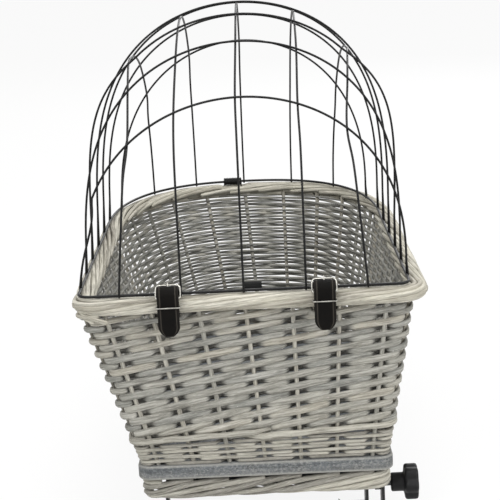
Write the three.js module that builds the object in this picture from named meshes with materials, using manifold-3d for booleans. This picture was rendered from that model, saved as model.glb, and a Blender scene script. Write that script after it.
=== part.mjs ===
// Woven pet basket for a bicycle rack: willow body on a wooden base board, a wire dome lid that
// swings on a wound wire hinge, two buckled straps and two screw clamps under the base.
// Millimetres, +X to the right, +Y to the back, +Z up. While it is being built, x = 0 is the middle of
// the base board, y = 0 the lid's front wire and z = 0 the surface that the clamps stand on.

import * as THREE from 'three';
import Module from 'manifold-3d';
import { mergeVertices } from 'three/addons/utils/BufferGeometryUtils.js';

const wasm = await Module();
wasm.setup();

// Clearances
const GAP = 0.3;
const RUN_GAP = 0.4;

// Lid ring and dome wires
const RING_HALF = 167;
const RING_LENGTH = 528;
const RING_CORNER = 12;
const RING_RADIUS = 1.5;
const RING_LIFT = 0.8;
const SIDE_TAPER = 5;
const REAR_CURVE_LENGTH = 228;
const REAR_SQUARENESS = 2.45;
const WIRE_RADIUS = 1.2;
const DOME_HEIGHT = 267;
const DOME_CREST_Y = 205;
const HOOP_COUNT = 7;
const HOOP_FIRST_Y = 33;
const HOOP_PITCH = 55.5;
const HOOP_SPREAD = 1.02;
const HOOP_FULLNESS = 3.45;
const HOOP_FULLNESS_FALL = 0.11;
const DOME_LEAN = 5.5;
const INNER_WIRE_X = 62.7;
const OUTER_WIRE_FRONT_X = 125;
const OUTER_WIRE_CREST_X = 121;
const OUTER_WIRE_LEAN = 9;
const OUTER_WIRE_REAR_DRAW = 5;

// Woven body, from the base board up; the hand-woven wall leans, so rim and lid stand off the middle
const LID_SHIFT = -14;
const RIM_SHIFT = -8.5;
const WALL_TOP_SHIFT = -13;
const BASE_HALF = 132.5;
const BASE_FRONT_Y = 1;
const BASE_REAR_Y = 494;
const BASE_CORNER = 14;
const BOARD_THICKNESS = 15;
const FOOT_HEIGHT = 24;
const FOOT_SINK = 6.5;
const FOOT_WIDTH = 14;
const FOOT_INSET = 1.5;
const WALL_THICKNESS = 10;
const WALL_INSET = 2;
const UPSETT_HEIGHT = 22;
const SIDE_HEIGHT = 142.5;
const RIM_HEIGHT = 18;
const RIM_WIDTH = 24;
const RIM_OVERHANG = 9.5;
const RIM_SPREAD = 3;
const WALL_TOP_SPREAD = 5.5;
const WALL_TOP_REACH = 1.5;
const WALL_TOP_CORNER = 22;
const STAKE_COUNT = 36;
const STAKE_RADIUS = 2.6;
const FRONT_ROW = 6.6;
const WEAVE_RELIEF = 3;

// Lid hinge: a black wire wound round the lid's rear wire, its two tails pushed into the rim
const COIL_WIRE_RADIUS = 1;
const COIL_MEAN_RADIUS = 4;
const COIL_TURNS = 7.5;
const COIL_LENGTH = 22;
const COIL_RIGHT_X = -4;
const COIL_TAIL = 13;

// Straps, buckles and wire keepers at the front
const STRAP_X = [-75.5, 80.5];
const STRAP_WIDTH = 21.6;
const STRAP_THICKNESS = 2;
const STRAP_TAIL_DROP = 39.7;
const STRAP_TIP = 9;
const STRAP_FOLD_DROP = 19;
const STRAP_STEPS = 2;
const FRAME_RADIUS = 1.1;
const FRAME_LENGTH = 15;
const FRAME_CORNER = 4;
const FRAME_ANGLE = 45;
const HEEL_FORWARD = 3.5;
const HEEL_DROP = 1;
const PRONG_RADIUS = 0.9;
const PRONG_OVERREACH = 2.2;
const KEEPER_RADIUS = 0.7;
const KEEPER_DROP = 9.3;

// Tether loop low on the inside of the rear wall
const TETHER_WIDTH = 24;
const TETHER_HEIGHT = 8;
const TETHER_DEPTH = 6;
const TETHER_BAND = 1.8;
const TETHER_X = -8.5;
const TETHER_RISE = 52;
const TETHER_STANDOFF = 0.2;

// Rack clamps
const CLAMP_Y = [38, 340];
const CLAMP_DROP = 35;
const RAIL_THICKNESS = 3;
const RAIL_WIDTH = 24;
const RAIL_END_X = 124.2;
const RAIL_END_LIFT = 2;
const JAW_FACE_X = 104;
const JAW_THICKNESS = 3;
const JAW_LIP = 28;
const JAW_TIP_RISE = 3;
const JAW_FLANGE = 12;
const JAW_FLANGE_THICKNESS = 1.8;
const SCREW_RADIUS = 4;
const SCREW_DROP = 7.5;
const SCREW_COLLAR_RADIUS = 5;
const SCREW_COLLAR = 2.5;
const SCREW_NUT_FLATS = 13;
const SCREW_NUT_HEIGHT = 6.5;
const KNOB_STANDOFF = 7.5;
const KNOB_HUB_RADIUS = 10;
const KNOB_HUB_LENGTH = 14;
const KNOB_HEAD_RADIUS = 17.4;
const KNOB_LOBE = 1.6;
const KNOB_LOBES = 6;
const KNOB_HEAD_LENGTH = 14.5;
const KNOB_SOCKET = 15;
const BOLT_X = 69;
const BOLT_RADIUS = 3;
const BOLT_HEAD_RADIUS = 8;
const BOLT_HEAD_HEIGHT = 3.5;
const BOLT_TAIL = 13;
const BOLT_POINT = 5;
const BOLT_POINT_RADIUS = 1.4;
const BOLT_NUT_FLATS = 10;
const BOLT_NUT_HEIGHT = 5;
const SPACER_RADIUS = 6;

// Heights that follow from the stack above the clamps
const RAIL_TOP_Z = CLAMP_DROP + RAIL_THICKNESS;
const FOOT_Z = RAIL_TOP_Z + GAP - FOOT_SINK;
const BOARD_Z = FOOT_Z + FOOT_HEIGHT + GAP;
const BOARD_TOP_Z = BOARD_Z + BOARD_THICKNESS;
const UPSETT_Z = BOARD_TOP_Z + GAP;
const UPSETT_TOP_Z = UPSETT_Z + UPSETT_HEIGHT;
const SIDE_Z = UPSETT_TOP_Z + GAP;
const SIDE_TOP_Z = SIDE_Z + SIDE_HEIGHT;
const RIM_Z = SIDE_TOP_Z + GAP;
const RIM_TOP_Z = RIM_Z + RIM_HEIGHT;
const RING_Z = RIM_TOP_Z + RING_LIFT + RING_RADIUS;
const SCREW_Z = CLAMP_DROP - SCREW_DROP;
const jawBack = JAW_FACE_X + JAW_THICKNESS;

const part = new THREE.Group();

const materials = {
  willow: new THREE.MeshStandardMaterial({ color: 0xa9a79d, roughness: 0.85, metalness: 0 }),
  border: new THREE.MeshStandardMaterial({ color: 0xcdc7b6, roughness: 0.8, metalness: 0 }),
  board: new THREE.MeshStandardMaterial({ color: 0x7d8083, roughness: 0.8, metalness: 0 }),
  wire: new THREE.MeshStandardMaterial({ color: 0x232325, roughness: 0.45, metalness: 0.3 }),
  leather: new THREE.MeshStandardMaterial({ color: 0x1d1b18, roughness: 0.6, metalness: 0 }),
  nickel: new THREE.MeshStandardMaterial({ color: 0xc9c9c6, roughness: 0.2, metalness: 1 }),
  steel: new THREE.MeshStandardMaterial({ color: 0x2a2a2c, roughness: 0.5, metalness: 0.6 }),
  zinc: new THREE.MeshStandardMaterial({ color: 0xa5a7aa, roughness: 0.4, metalness: 0.9 }),
  plastic: new THREE.MeshStandardMaterial({ color: 0x1e1e20, roughness: 0.5, metalness: 0 }),
  webbing: new THREE.MeshStandardMaterial({ color: 0x19191b, roughness: 0.9, metalness: 0 }),
};

function place(parent, name, geometry, material) {
  const mesh = new THREE.Mesh(geometry, material);
  mesh.name = name;
  parent.add(mesh);
  return mesh;
}

// Mesh helpers

function welded(geometry) {
  const bare = geometry.clone();
  bare.deleteAttribute('normal');
  bare.deleteAttribute('uv');
  const merged = mergeVertices(bare, 1e-4);
  merged.computeVertexNormals();
  return merged;
}

function solidOf(geometry) {
  const mesh = welded(geometry);
  const vertProperties = new Float32Array(mesh.attributes.position.array);
  const triVerts = new Uint32Array(mesh.index.array);
  return new wasm.Manifold(new wasm.Mesh({ numProp: 3, vertProperties, triVerts }));
}

function geometryOf(solid) {
  const mesh = solid.getMesh();
  const geometry = new THREE.BufferGeometry();
  geometry.setAttribute('position', new THREE.BufferAttribute(new Float32Array(mesh.vertProperties), 3));
  geometry.setIndex(new THREE.BufferAttribute(new Uint32Array(mesh.triVerts), 1));
  geometry.computeVertexNormals();
  return geometry;
}

function cut(geometry, tools) {
  const solid = tools.reduce((rest, tool) => rest.subtract(solidOf(tool)), solidOf(geometry));
  return geometryOf(solid);
}

function common(geometry, other) {
  return geometryOf(solidOf(geometry).intersect(solidOf(other)));
}

function join(pieces) {
  const solid = pieces.slice(1).reduce((sum, piece) => sum.add(solidOf(piece)), solidOf(pieces[0]));
  return geometryOf(solid);
}

function boxBetween(low, high) {
  const size = high.map((value, axis) => value - low[axis]);
  const box = new THREE.BoxGeometry(...size);
  return box.translate(...low.map((value, axis) => value + size[axis] / 2));
}

// A polygon whose flats, not its corners, lie at the radius, so that a round piece passes through it
function boreRadius(radius, sides) {
  return radius / Math.cos(Math.PI / sides);
}

function rodAlongX(radius, sides, fromX, toX, y, z) {
  const rod = new THREE.CylinderGeometry(radius, radius, toX - fromX, sides);
  return rod.rotateZ(Math.PI / 2).translate((fromX + toX) / 2, y, z);
}

function rodAlongZ(radius, sides, fromZ, toZ, x, y) {
  const rod = new THREE.CylinderGeometry(radius, radius, toZ - fromZ, sides);
  return rod.rotateX(Math.PI / 2).translate(x, y, (fromZ + toZ) / 2);
}

// Loops of equal point count, joined into one ring-shaped closed skin
function ringSkin(loops) {
  const count = loops[0].length;
  const positions = loops.flat().flatMap((point) => [point.x, point.y, point.z]);
  const indices = [];
  loops.forEach((loop, row) => {
    const next = (row + 1) % loops.length;
    for (let i = 0; i < count; i += 1) {
      const j = (i + 1) % count;
      const [a, b] = [row * count + i, row * count + j];
      const [c, d] = [next * count + i, next * count + j];
      indices.push(a, b, d, a, d, c);
    }
  });
  const geometry = new THREE.BufferGeometry();
  geometry.setAttribute('position', new THREE.Float32BufferAttribute(positions, 3));
  geometry.setIndex(indices);
  geometry.computeVertexNormals();
  return geometry;
}

// Open loops of equal point count, closed round the section that they make and capped at both ends;
// the first half of the loops goes up one face and the second half comes down the other
function stripSkin(loops) {
  const count = loops[0].length;
  const rows = loops.length;
  const positions = loops.flat().flatMap((point) => [point.x, point.y, point.z]);
  const indices = [];
  for (let row = 0; row < rows; row += 1) {
    const next = (row + 1) % rows;
    for (let i = 0; i < count - 1; i += 1) {
      const [a, b] = [row * count + i, row * count + i + 1];
      const [c, d] = [next * count + i, next * count + i + 1];
      indices.push(a, b, d, a, d, c);
    }
  }
  const end = count - 1;
  for (let row = 0; row < rows / 2 - 1; row += 1) {
    const [a, b] = [row * count, (row + 1) * count];
    const [c, d] = [(rows - 2 - row) * count, (rows - 1 - row) * count];
    indices.push(a, b, c, a, c, d);
    indices.push(a + end, c + end, b + end, a + end, d + end, c + end);
  }
  const geometry = new THREE.BufferGeometry();
  geometry.setAttribute('position', new THREE.Float32BufferAttribute(positions, 3));
  geometry.setIndex(indices);
  geometry.computeVertexNormals();
  return geometry;
}

// A path that keeps exactly the points it is given, for a tube with a corner at each of them
class RoutedPath extends THREE.Curve {
  constructor(points) {
    super();
    this.points = points;
  }

  getPoint(t, target = new THREE.Vector3()) {
    const place = t * (this.points.length - 1);
    const index = Math.min(Math.floor(place), this.points.length - 2);
    return target.lerpVectors(this.points[index], this.points[index + 1], place - index);
  }

  getPointAt(u, target) {
    return this.getPoint(u, target);
  }

  getTangentAt(u, target = new THREE.Vector3()) {
    const last = this.points.length - 1;
    const index = Math.round(u * last);
    const before = this.points[Math.max(index - 1, 0)];
    const after = this.points[Math.min(index + 1, last)];
    return target.subVectors(after, before).normalize();
  }
}

function roundShape(radius, sides) {
  const points = [];
  for (let i = 0; i < sides; i += 1) {
    const angle = (2 * Math.PI * i) / sides;
    points.push(new THREE.Vector2(radius * Math.cos(angle), radius * Math.sin(angle)));
  }
  return new THREE.Shape(points);
}

function tube(points, radius, sides) {
  const extrudePath = new RoutedPath(points);
  const steps = points.length - 1;
  return welded(new THREE.ExtrudeGeometry(roundShape(radius, sides), { steps, extrudePath }));
}

// Points of a smooth curve through the given points, with each of those among them
function smoothed(points, perSpan) {
  const curve = new THREE.CatmullRomCurve3(points, false, 'centripetal');
  const spans = points.length - 1;
  const result = [];
  for (let i = 0; i <= spans * perSpan; i += 1) {
    result.push(curve.getPoint(i / (spans * perSpan)));
  }
  return result;
}

// Plan outline shared by ring, rim, wall, board and foot: straight front, drawn-in sides, round back

const FRONT_STEPS = 4;
const CORNER_STEPS = 4;
const SIDE_STEPS = 4;
const REAR_STEPS = 11;
const FLAT_BACK_SHARES = [0.955, 0.985, 1];

const ringPlan = {
  half: RING_HALF,
  front: 0,
  rear: RING_LENGTH,
  corner: RING_CORNER,
  shift: 0,
};

function rearStart(plan) {
  const share = REAR_CURVE_LENGTH / RING_LENGTH;
  return plan.rear - share * (plan.rear - plan.front);
}

function rearHalf(plan) {
  return plan.half * (1 - SIDE_TAPER / RING_HALF);
}

function halfWidthAt(plan, y) {
  const start = rearStart(plan);
  if (y <= start) {
    const share = (y - plan.front) / (start - plan.front);
    return plan.half + share * (rearHalf(plan) - plan.half);
  }
  const reach = (y - start) / (plan.rear - start);
  return rearHalf(plan) * (1 - reach ** REAR_SQUARENESS) ** (1 / REAR_SQUARENESS);
}

function rearAt(plan, x) {
  const start = rearStart(plan);
  const share = Math.abs(x) / rearHalf(plan);
  return start + (plan.rear - start) * (1 - share ** REAR_SQUARENESS) ** (1 / REAR_SQUARENESS);
}

function halfOutline(plan) {
  const points = [];
  const straight = plan.half - plan.corner;
  for (let i = 0; i < FRONT_STEPS; i += 1) {
    points.push([(straight * i) / FRONT_STEPS, plan.front]);
  }
  for (let i = 0; i < CORNER_STEPS; i += 1) {
    const angle = (Math.PI / 2) * (i / CORNER_STEPS);
    const x = straight + plan.corner * Math.sin(angle);
    points.push([x, plan.front + plan.corner * (1 - Math.cos(angle))]);
  }
  const sideFrom = plan.front + plan.corner;
  for (let i = 0; i < SIDE_STEPS; i += 1) {
    const y = sideFrom + ((rearStart(plan) - sideFrom) * i) / SIDE_STEPS;
    points.push([halfWidthAt(plan, y), y]);
  }
  const power = 2 / REAR_SQUARENESS;
  const bend = Array.from({ length: REAR_STEPS }, (_, i) => i / REAR_STEPS);
  bend.concat(FLAT_BACK_SHARES).forEach((share) => {
    const angle = (Math.PI / 2) * share;
    const reach = share === 1 ? 0 : Math.cos(angle) ** power;
    const depth = Math.sin(angle) ** power;
    points.push([rearHalf(plan) * reach, rearStart(plan) + (plan.rear - rearStart(plan)) * depth]);
  });
  return points;
}

function outline(plan) {
  const right = halfOutline(plan);
  const left = right.slice(1, -1).reverse().map(([x, y]) => [-x, y]);
  return right.concat(left).map(([x, y]) => new THREE.Vector2(x + plan.shift, y));
}

// The outline moved outwards (or inwards, below zero) and lifted to a height
function offsetLoop(plan, offset, z) {
  const points = outline(plan);
  return points.map((point, i) => {
    const before = points[(i + points.length - 1) % points.length];
    const after = points[(i + 1) % points.length];
    const along = after.clone().sub(before).normalize();
    return new THREE.Vector3(point.x + along.y * offset, point.y - along.x * offset, z);
  });
}

// A ring with the given section, as pairs of outward offset and height, all round an outline
function ringSolid(plan, section) {
  return ringSkin(section.map(([offset, z]) => offsetLoop(plan, offset, z)));
}

function roundSection(width, height, z, sides) {
  const section = [];
  const power = 0.7;
  for (let i = 0; i < sides; i += 1) {
    const angle = (2 * Math.PI * (i + 0.5)) / sides;
    const [c, s] = [Math.cos(angle), Math.sin(angle)];
    const offset = (width / 2) * Math.sign(c) * Math.abs(c) ** power;
    section.push([offset, z + height / 2 + (height / 2) * Math.sign(s) * Math.abs(s) ** power]);
  }
  const highest = Math.max(...section.map(([, level]) => level)) - z - height / 2;
  return section.map(([offset, level]) => {
    return [offset, z + height / 2 + ((level - z - height / 2) * height) / (2 * highest)];
  });
}

// Woven body

const basePlan = {
  half: BASE_HALF,
  front: BASE_FRONT_Y,
  rear: BASE_REAR_Y,
  corner: BASE_CORNER,
  shift: 0,
};

function insetPlan(plan, inset) {
  return {
    ...plan,
    half: plan.half - inset,
    front: plan.front + inset,
    rear: plan.rear - inset,
    corner: Math.max(plan.corner - inset / 2, 2),
  };
}

const wallFoot = insetPlan(basePlan, WALL_INSET);
const wallTop = {
  half: RING_HALF + WALL_TOP_SPREAD,
  front: -WALL_TOP_REACH,
  rear: RING_LENGTH + WALL_TOP_REACH,
  corner: WALL_TOP_CORNER,
  shift: WALL_TOP_SHIFT,
};
const rimPlan = {
  ...insetPlan(wallTop, RIM_WIDTH / 2 - RIM_OVERHANG),
  half: RING_HALF + RIM_SPREAD,
  shift: RIM_SHIFT,
};
const rimFrontY = rimPlan.front - RIM_WIDTH / 2;
const rimInnerY = rimPlan.front + RIM_WIDTH / 2;

// The wall's outer outline at a height, from the base board's top up to the rim
function wallPlan(z) {
  const share = (z - UPSETT_Z) / (SIDE_TOP_Z - UPSETT_Z);
  const mix = (key) => wallFoot[key] + share * (wallTop[key] - wallFoot[key]);
  return {
    half: mix('half'),
    front: mix('front'),
    rear: mix('rear'),
    corner: mix('corner'),
    shift: mix('shift'),
  };
}

function wallBand(fromZ, toZ) {
  const low = wallPlan(fromZ);
  const high = wallPlan(toZ);
  return ringSkin([
    offsetLoop(low, 0, fromZ),
    offsetLoop(high, 0, toZ),
    offsetLoop(high, -WALL_THICKNESS, toZ),
    offsetLoop(low, -WALL_THICKNESS, fromZ),
  ]);
}

// Stakes stand at even steps along the middle of the wall's foot
function stakePlaces() {
  const loop = offsetLoop(wallFoot, -WALL_THICKNESS / 2, 0);
  const path = new THREE.CurvePath();
  loop.forEach((point, i) => path.add(new THREE.LineCurve3(point, loop[(i + 1) % loop.length])));
  const places = [];
  for (let i = 0; i < STAKE_COUNT; i += 1) {
    places.push(path.getPointAt(i / STAKE_COUNT));
  }
  return places;
}

const STAKE_SIDES = 6;
const stakes = stakePlaces();
const bolts = CLAMP_Y.flatMap((y) => [[-BOLT_X, y], [BOLT_X, y]]);
const BOLT_SIDES = 12;

function baseBoard() {
  const shape = new THREE.Shape(outline(basePlan));
  const blank = new THREE.ExtrudeGeometry(shape, { depth: BOARD_THICKNESS, bevelEnabled: false });
  const past = 1;
  const drill = (x, y, radius, sides) => {
    return rodAlongZ(boreRadius(radius, sides), sides, BOARD_Z - past, BOARD_TOP_Z + past, x, y);
  };
  const stakeHoles = stakes.map(({ x, y }) => drill(x, y, STAKE_RADIUS + GAP, STAKE_SIDES));
  const boltHoles = bolts.map(([x, y]) => drill(x, y, BOLT_RADIUS + GAP, BOLT_SIDES));
  return cut(blank.translate(0, 0, BOARD_Z), [...stakeHoles, ...boltHoles]);
}

// The lowest rows of weave, with the stakes' ends that reach down through the base board
function upsettBand() {
  const band = wallBand(UPSETT_Z, UPSETT_TOP_Z);
  const into = UPSETT_Z + UPSETT_HEIGHT / 2;
  const pegs = stakes.map(({ x, y }) => rodAlongZ(STAKE_RADIUS, STAKE_SIDES, BOARD_Z, into, x, y));
  return join([band, ...pegs]);
}

const slotHalf = STRAP_WIDTH / 2 + RUN_GAP;
const slotHeight = STRAP_THICKNESS + 3 * RUN_GAP;
const strapCentres = STRAP_X.map((x) => x + LID_SHIFT);

// The side weave stands in seven stretches of the outline, each from one of its points to another
const FRONT_END = FRONT_STEPS + CORNER_STEPS + 1;
const REAR_START = FRONT_STEPS + CORNER_STEPS + SIDE_STEPS;
const REAR_TURN = REAR_START + Math.ceil(REAR_STEPS / 2);
const BACK_MIDDLE = REAR_START + REAR_STEPS + FLAT_BACK_SHARES.length - 1;
const sideStretches = {
  front: [-FRONT_END, FRONT_END],
  right: [FRONT_END, REAR_START],
  rear_right: [REAR_START, REAR_TURN],
  back_right: [REAR_TURN, BACK_MIDDLE],
  back_left: [-BACK_MIDDLE, -REAR_TURN],
  rear_left: [-REAR_TURN, -REAR_START],
  left: [-REAR_START, -FRONT_END],
};

// The points of a loop from one place to another, with its two ends drawn in by half the clearance
function openStretch(loop, [from, to]) {
  const points = [];
  for (let i = from; i <= to; i += 1) {
    points.push(loop[(i + loop.length) % loop.length].clone());
  }
  const last = points.length - 1;
  [[0, 1], [last, last - 1]].forEach(([end, beside]) => {
    const inwards = points[beside].clone().sub(points[end]).normalize();
    points[end].addScaledVector(inwards, GAP / 2);
  });
  return points;
}

function strapSlots() {
  return strapCentres.map((x) => {
    const low = [x - slotHalf, wallTop.front - WALL_THICKNESS, SIDE_TOP_Z - slotHeight];
    const high = [x + slotHalf, wallTop.front + 2 * WALL_THICKNESS, SIDE_TOP_Z + 1];
    return boxBetween(low, high);
  });
}

// A stretch of plain wall between two outward offsets
function plainStretch(stretch, outer, inner) {
  const face = (offset, z) => openStretch(offsetLoop(wallPlan(z), offset, z), stretch);
  return stripSkin([
    face(outer, SIDE_Z),
    face(outer, SIDE_TOP_Z),
    face(inner, SIDE_TOP_Z),
    face(inner, SIDE_Z),
  ]);
}

// Lengths along the middle of the wall's foot, up to each point of the outline, in stakes
function stakeSteps() {
  const loop = offsetLoop(wallFoot, -WALL_THICKNESS / 2, 0);
  const lengths = [0];
  loop.forEach((point, i) => lengths.push(lengths[i] + point.distanceTo(loop[(i + 1) % loop.length])));
  return lengths.map((length) => (STAKE_COUNT * length) / lengths[loop.length]);
}

const outlineSteps = stakeSteps();
const outlineCount = outlineSteps.length - 1;

// The place on the outline, as a point's index and a share of the way to the next, of a step in stakes
function placeOfStep(step) {
  const turns = Math.floor(step / STAKE_COUNT);
  const rest = step - turns * STAKE_COUNT;
  const index = outlineSteps.findLastIndex((at) => at <= rest);
  const share = (rest - outlineSteps[index]) / (outlineSteps[index + 1] - outlineSteps[index]);
  return turns * outlineCount + index + share;
}

function stepOfPoint(index) {
  return index < 0 ? outlineSteps[index + outlineCount] - STAKE_COUNT : outlineSteps[index];
}

function loopAt(loop, place) {
  const index = Math.floor(place);
  const at = (i) => loop[(i + 2 * loop.length) % loop.length];
  return at(index).clone().lerp(at(index + 1), place - index);
}

// Columns of the weave: every stake, the middle between stakes and the points of the front corners,
// from just before a stretch to just past it
function weaveColumns([from, to]) {
  const columns = [];
  const past = 0.5;
  const first = Math.floor(2 * stepOfPoint(from)) / 2 - past;
  const last = Math.ceil(2 * stepOfPoint(to)) / 2 + past;
  for (let step = first; step <= last; step += 0.5) {
    columns.push({ step, place: placeOfStep(step) });
  }
  for (let i = FRONT_STEPS; i <= FRONT_STEPS + CORNER_STEPS; i += 1) {
    [-i, i].filter((index) => index > from && index < to).forEach((index) => {
      columns.push({ step: stepOfPoint(index), place: index });
    });
  }
  return columns.sort((a, b) => a.place - b.place);
}

// How near a column is to a stake, from 1 on the stake to 0 in the middle between two
function stakeShare(step) {
  return 1 - 2 * Math.abs(step - Math.round(step));
}

function wallPoint(offset, z, place) {
  return loopAt(offsetLoop(wallPlan(z), offset, z), place);
}

// Front weave: its rods climb by one row at every stake and stand out over each second one
function frontWeave(stretch) {
  const columns = weaveColumns(stretch);
  const slack = Math.ceil(Math.max(...columns.map(({ step }) => Math.abs(step)))) + 1;
  const rows = [];
  for (let row = -slack; row <= SIDE_HEIGHT / FRONT_ROW + slack; row += 1) {
    rows.push(row);
  }
  const level = (row, step) => SIDE_Z + FRONT_ROW * (row + step);
  const outer = rows.map((row) => columns.map(({ step, place }) => {
    const over = (row + Math.round(step)) % 2 === 0 ? stakeShare(step) : 0;
    return wallPoint(-WEAVE_RELIEF * (1 - over), level(row, step), place);
  }));
  const behind = -WALL_THICKNESS - 1;
  const inner = rows.map((row) => columns.map(({ step, place }) => {
    return wallPoint(behind, level(row, step), place);
  }));
  const weave = stripSkin([...outer, ...inner.reverse()]);
  return cut(common(plainStretch(stretch, 1, -WALL_THICKNESS), weave), strapSlots());
}

// Side and rear weave: rows too fine to tell apart, which bulge out and in over every stake
function sideWeave(stretch) {
  const columns = weaveColumns(stretch);
  const past = 1;
  const face = (out, sign, z) => columns.map(({ step, place }) => {
    return wallPoint(out - sign * WEAVE_RELIEF * (1 - stakeShare(step)), z, place);
  });
  const weave = stripSkin([
    face(0, 1, SIDE_Z - past),
    face(0, 1, SIDE_TOP_Z + past),
    face(-WALL_THICKNESS, -1, SIDE_TOP_Z + past),
    face(-WALL_THICKNESS, -1, SIDE_Z - past),
  ]);
  return common(plainStretch(stretch, past, -WALL_THICKNESS - past), weave);
}

// Lid hinge coil, wound about the lid's rear wire
const coilOuter = COIL_MEAN_RADIUS + COIL_WIRE_RADIUS;
const coilRight = LID_SHIFT + COIL_RIGHT_X;
const coilLeft = coilRight - COIL_LENGTH;
const coilMiddle = COIL_RIGHT_X - COIL_LENGTH / 2;
const hingeY = rearAt(ringPlan, coilMiddle);

function coilPoints() {
  const stepsPerTurn = 24;
  const steps = COIL_TURNS * stepsPerTurn;
  const points = [];
  const tailSteps = 3;
  for (let i = tailSteps; i > 0; i -= 1) {
    const z = RING_Z - (COIL_TAIL * i) / tailSteps;
    points.push(new THREE.Vector3(coilLeft, hingeY + COIL_MEAN_RADIUS, z));
  }
  for (let i = 0; i <= steps; i += 1) {
    const angle = (2 * Math.PI * i) / stepsPerTurn;
    const x = coilLeft + (COIL_LENGTH * i) / steps;
    const y = hingeY + COIL_MEAN_RADIUS * Math.cos(angle);
    points.push(new THREE.Vector3(x, y, RING_Z + COIL_MEAN_RADIUS * Math.sin(angle)));
  }
  for (let i = 1; i <= tailSteps; i += 1) {
    const z = RING_Z - (COIL_TAIL * i) / tailSteps;
    points.push(new THREE.Vector3(coilRight, hingeY - COIL_MEAN_RADIUS, z));
  }
  return points;
}

// Least gap between stretches of the coil that are more than half a turn apart along it
function leastCoilGap(points) {
  const apart = 12;
  let least = Infinity;
  points.forEach((point, i) => {
    for (let j = i + apart; j < points.length; j += 1) {
      least = Math.min(least, point.distanceTo(points[j]) - 2 * COIL_WIRE_RADIUS);
    }
  });
  return least;
}

const coilRoute = coilPoints();
console.log(`hinge coil, least gap to itself: ${leastCoilGap(coilRoute).toFixed(2)} mm`);

function rimBorder() {
  const border = ringSolid(rimPlan, roundSection(RIM_WIDTH, RIM_HEIGHT, RIM_Z, 10));
  const room = coilOuter + RUN_GAP;
  const sideRoom = COIL_WIRE_RADIUS + RUN_GAP;
  const notchLow = [coilLeft - sideRoom, hingeY - room, RING_Z - room];
  const notchHigh = [coilRight + sideRoom, hingeY + room, RING_Z + room];
  const boreSides = 8;
  const bore = boreRadius(COIL_WIRE_RADIUS + GAP, boreSides);
  const boreLow = RING_Z - COIL_TAIL - GAP;
  const bores = [[coilLeft, hingeY + COIL_MEAN_RADIUS], [coilRight, hingeY - COIL_MEAN_RADIUS]];
  const drills = bores.map(([x, y]) => rodAlongZ(bore, boreSides, boreLow, RING_Z, x, y));
  return cut(border, [boxBetween(notchLow, notchHigh), ...drills]);
}

// The foot border rises over the two rails, from their left ends to where they come out on the right
function footBorder() {
  const plan = insetPlan(basePlan, FOOT_INSET + FOOT_WIDTH / 2);
  const border = ringSolid(plan, roundSection(FOOT_WIDTH, FOOT_HEIGHT, FOOT_Z, 8));
  const room = RAIL_WIDTH / 2 + RUN_GAP;
  const past = 1;
  const notches = CLAMP_Y.map((y) => {
    const low = [-jawBack - RUN_GAP, y - room, FOOT_Z - past];
    return boxBetween(low, [BASE_HALF + past, y + room, RAIL_TOP_Z + GAP]);
  });
  return cut(border, notches);
}

const basket = new THREE.Group();
part.add(basket);
place(basket, 'base_board', baseBoard(), materials.board);
place(basket, 'upsett_band', upsettBand(), materials.willow);
Object.entries(sideStretches).forEach(([name, stretch]) => {
  const weave = name === 'front' ? frontWeave(stretch) : sideWeave(stretch);
  place(basket, `side_weave_${name}`, weave, materials.willow);
});
place(basket, 'rim_border', rimBorder(), materials.border);
place(basket, 'foot_border', footBorder(), materials.border);
place(basket, 'hinge_coil', tube(coilRoute, COIL_WIRE_RADIUS, 6), materials.wire);

// Tether loop: a band folded to a flat loop, its back against the slope of the rear wall
function tetherLoop() {
  const [h, d, b] = [TETHER_HEIGHT / 2, TETHER_DEPTH, TETHER_BAND];
  const corner = d / 2;
  const shape = new THREE.Shape();
  shape.moveTo(0, -h);
  shape.lineTo(0, h);
  shape.absarc(-corner, h - corner, corner, Math.PI / 2, Math.PI, false);
  shape.absarc(-corner, -h + corner, corner, Math.PI, 1.5 * Math.PI, false);
  shape.closePath();
  const eye = new THREE.Path();
  eye.moveTo(-b, -h + b);
  eye.lineTo(-d + b, -h + corner);
  eye.lineTo(-d + b, h - corner);
  eye.lineTo(-b, h - b);
  eye.closePath();
  shape.holes.push(eye);
  const bending = { depth: TETHER_WIDTH, bevelEnabled: false, curveSegments: 4 };
  const band = new THREE.ExtrudeGeometry(shape, bending);
  return welded(band.translate(0, 0, -TETHER_WIDTH / 2));
}

function placeTether() {
  const z = BOARD_TOP_Z + TETHER_RISE;
  const innerRear = (x, level) => {
    const plan = wallPlan(level);
    return rearAt(plan, x - plan.shift) - WALL_THICKNESS;
  };
  const slope = Math.atan2(innerRear(TETHER_X, z + 1) - innerRear(TETHER_X, z - 1), 2);
  const ends = [TETHER_X - TETHER_WIDTH / 2, TETHER_X + TETHER_WIDTH / 2];
  const seatY = Math.min(...ends.map((x) => innerRear(x, z)));
  const loop = place(basket, 'tether_loop', tetherLoop(), materials.webbing);
  const turn = new THREE.Matrix4().makeBasis(
    new THREE.Vector3(0, Math.cos(slope), -Math.sin(slope)),
    new THREE.Vector3(0, Math.sin(slope), Math.cos(slope)),
    new THREE.Vector3(1, 0, 0),
  );
  loop.setRotationFromMatrix(turn);
  loop.position.set(TETHER_X, seatY - TETHER_STANDOFF, z);
}
placeTether();

// Straps, buckles, prongs and keepers

const heelY = rimFrontY - HEEL_FORWARD;
const heelZ = RING_Z - HEEL_DROP;
const frameTilt = THREE.MathUtils.degToRad(FRAME_ANGLE);
const layer = STRAP_THICKNESS / 2;

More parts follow.
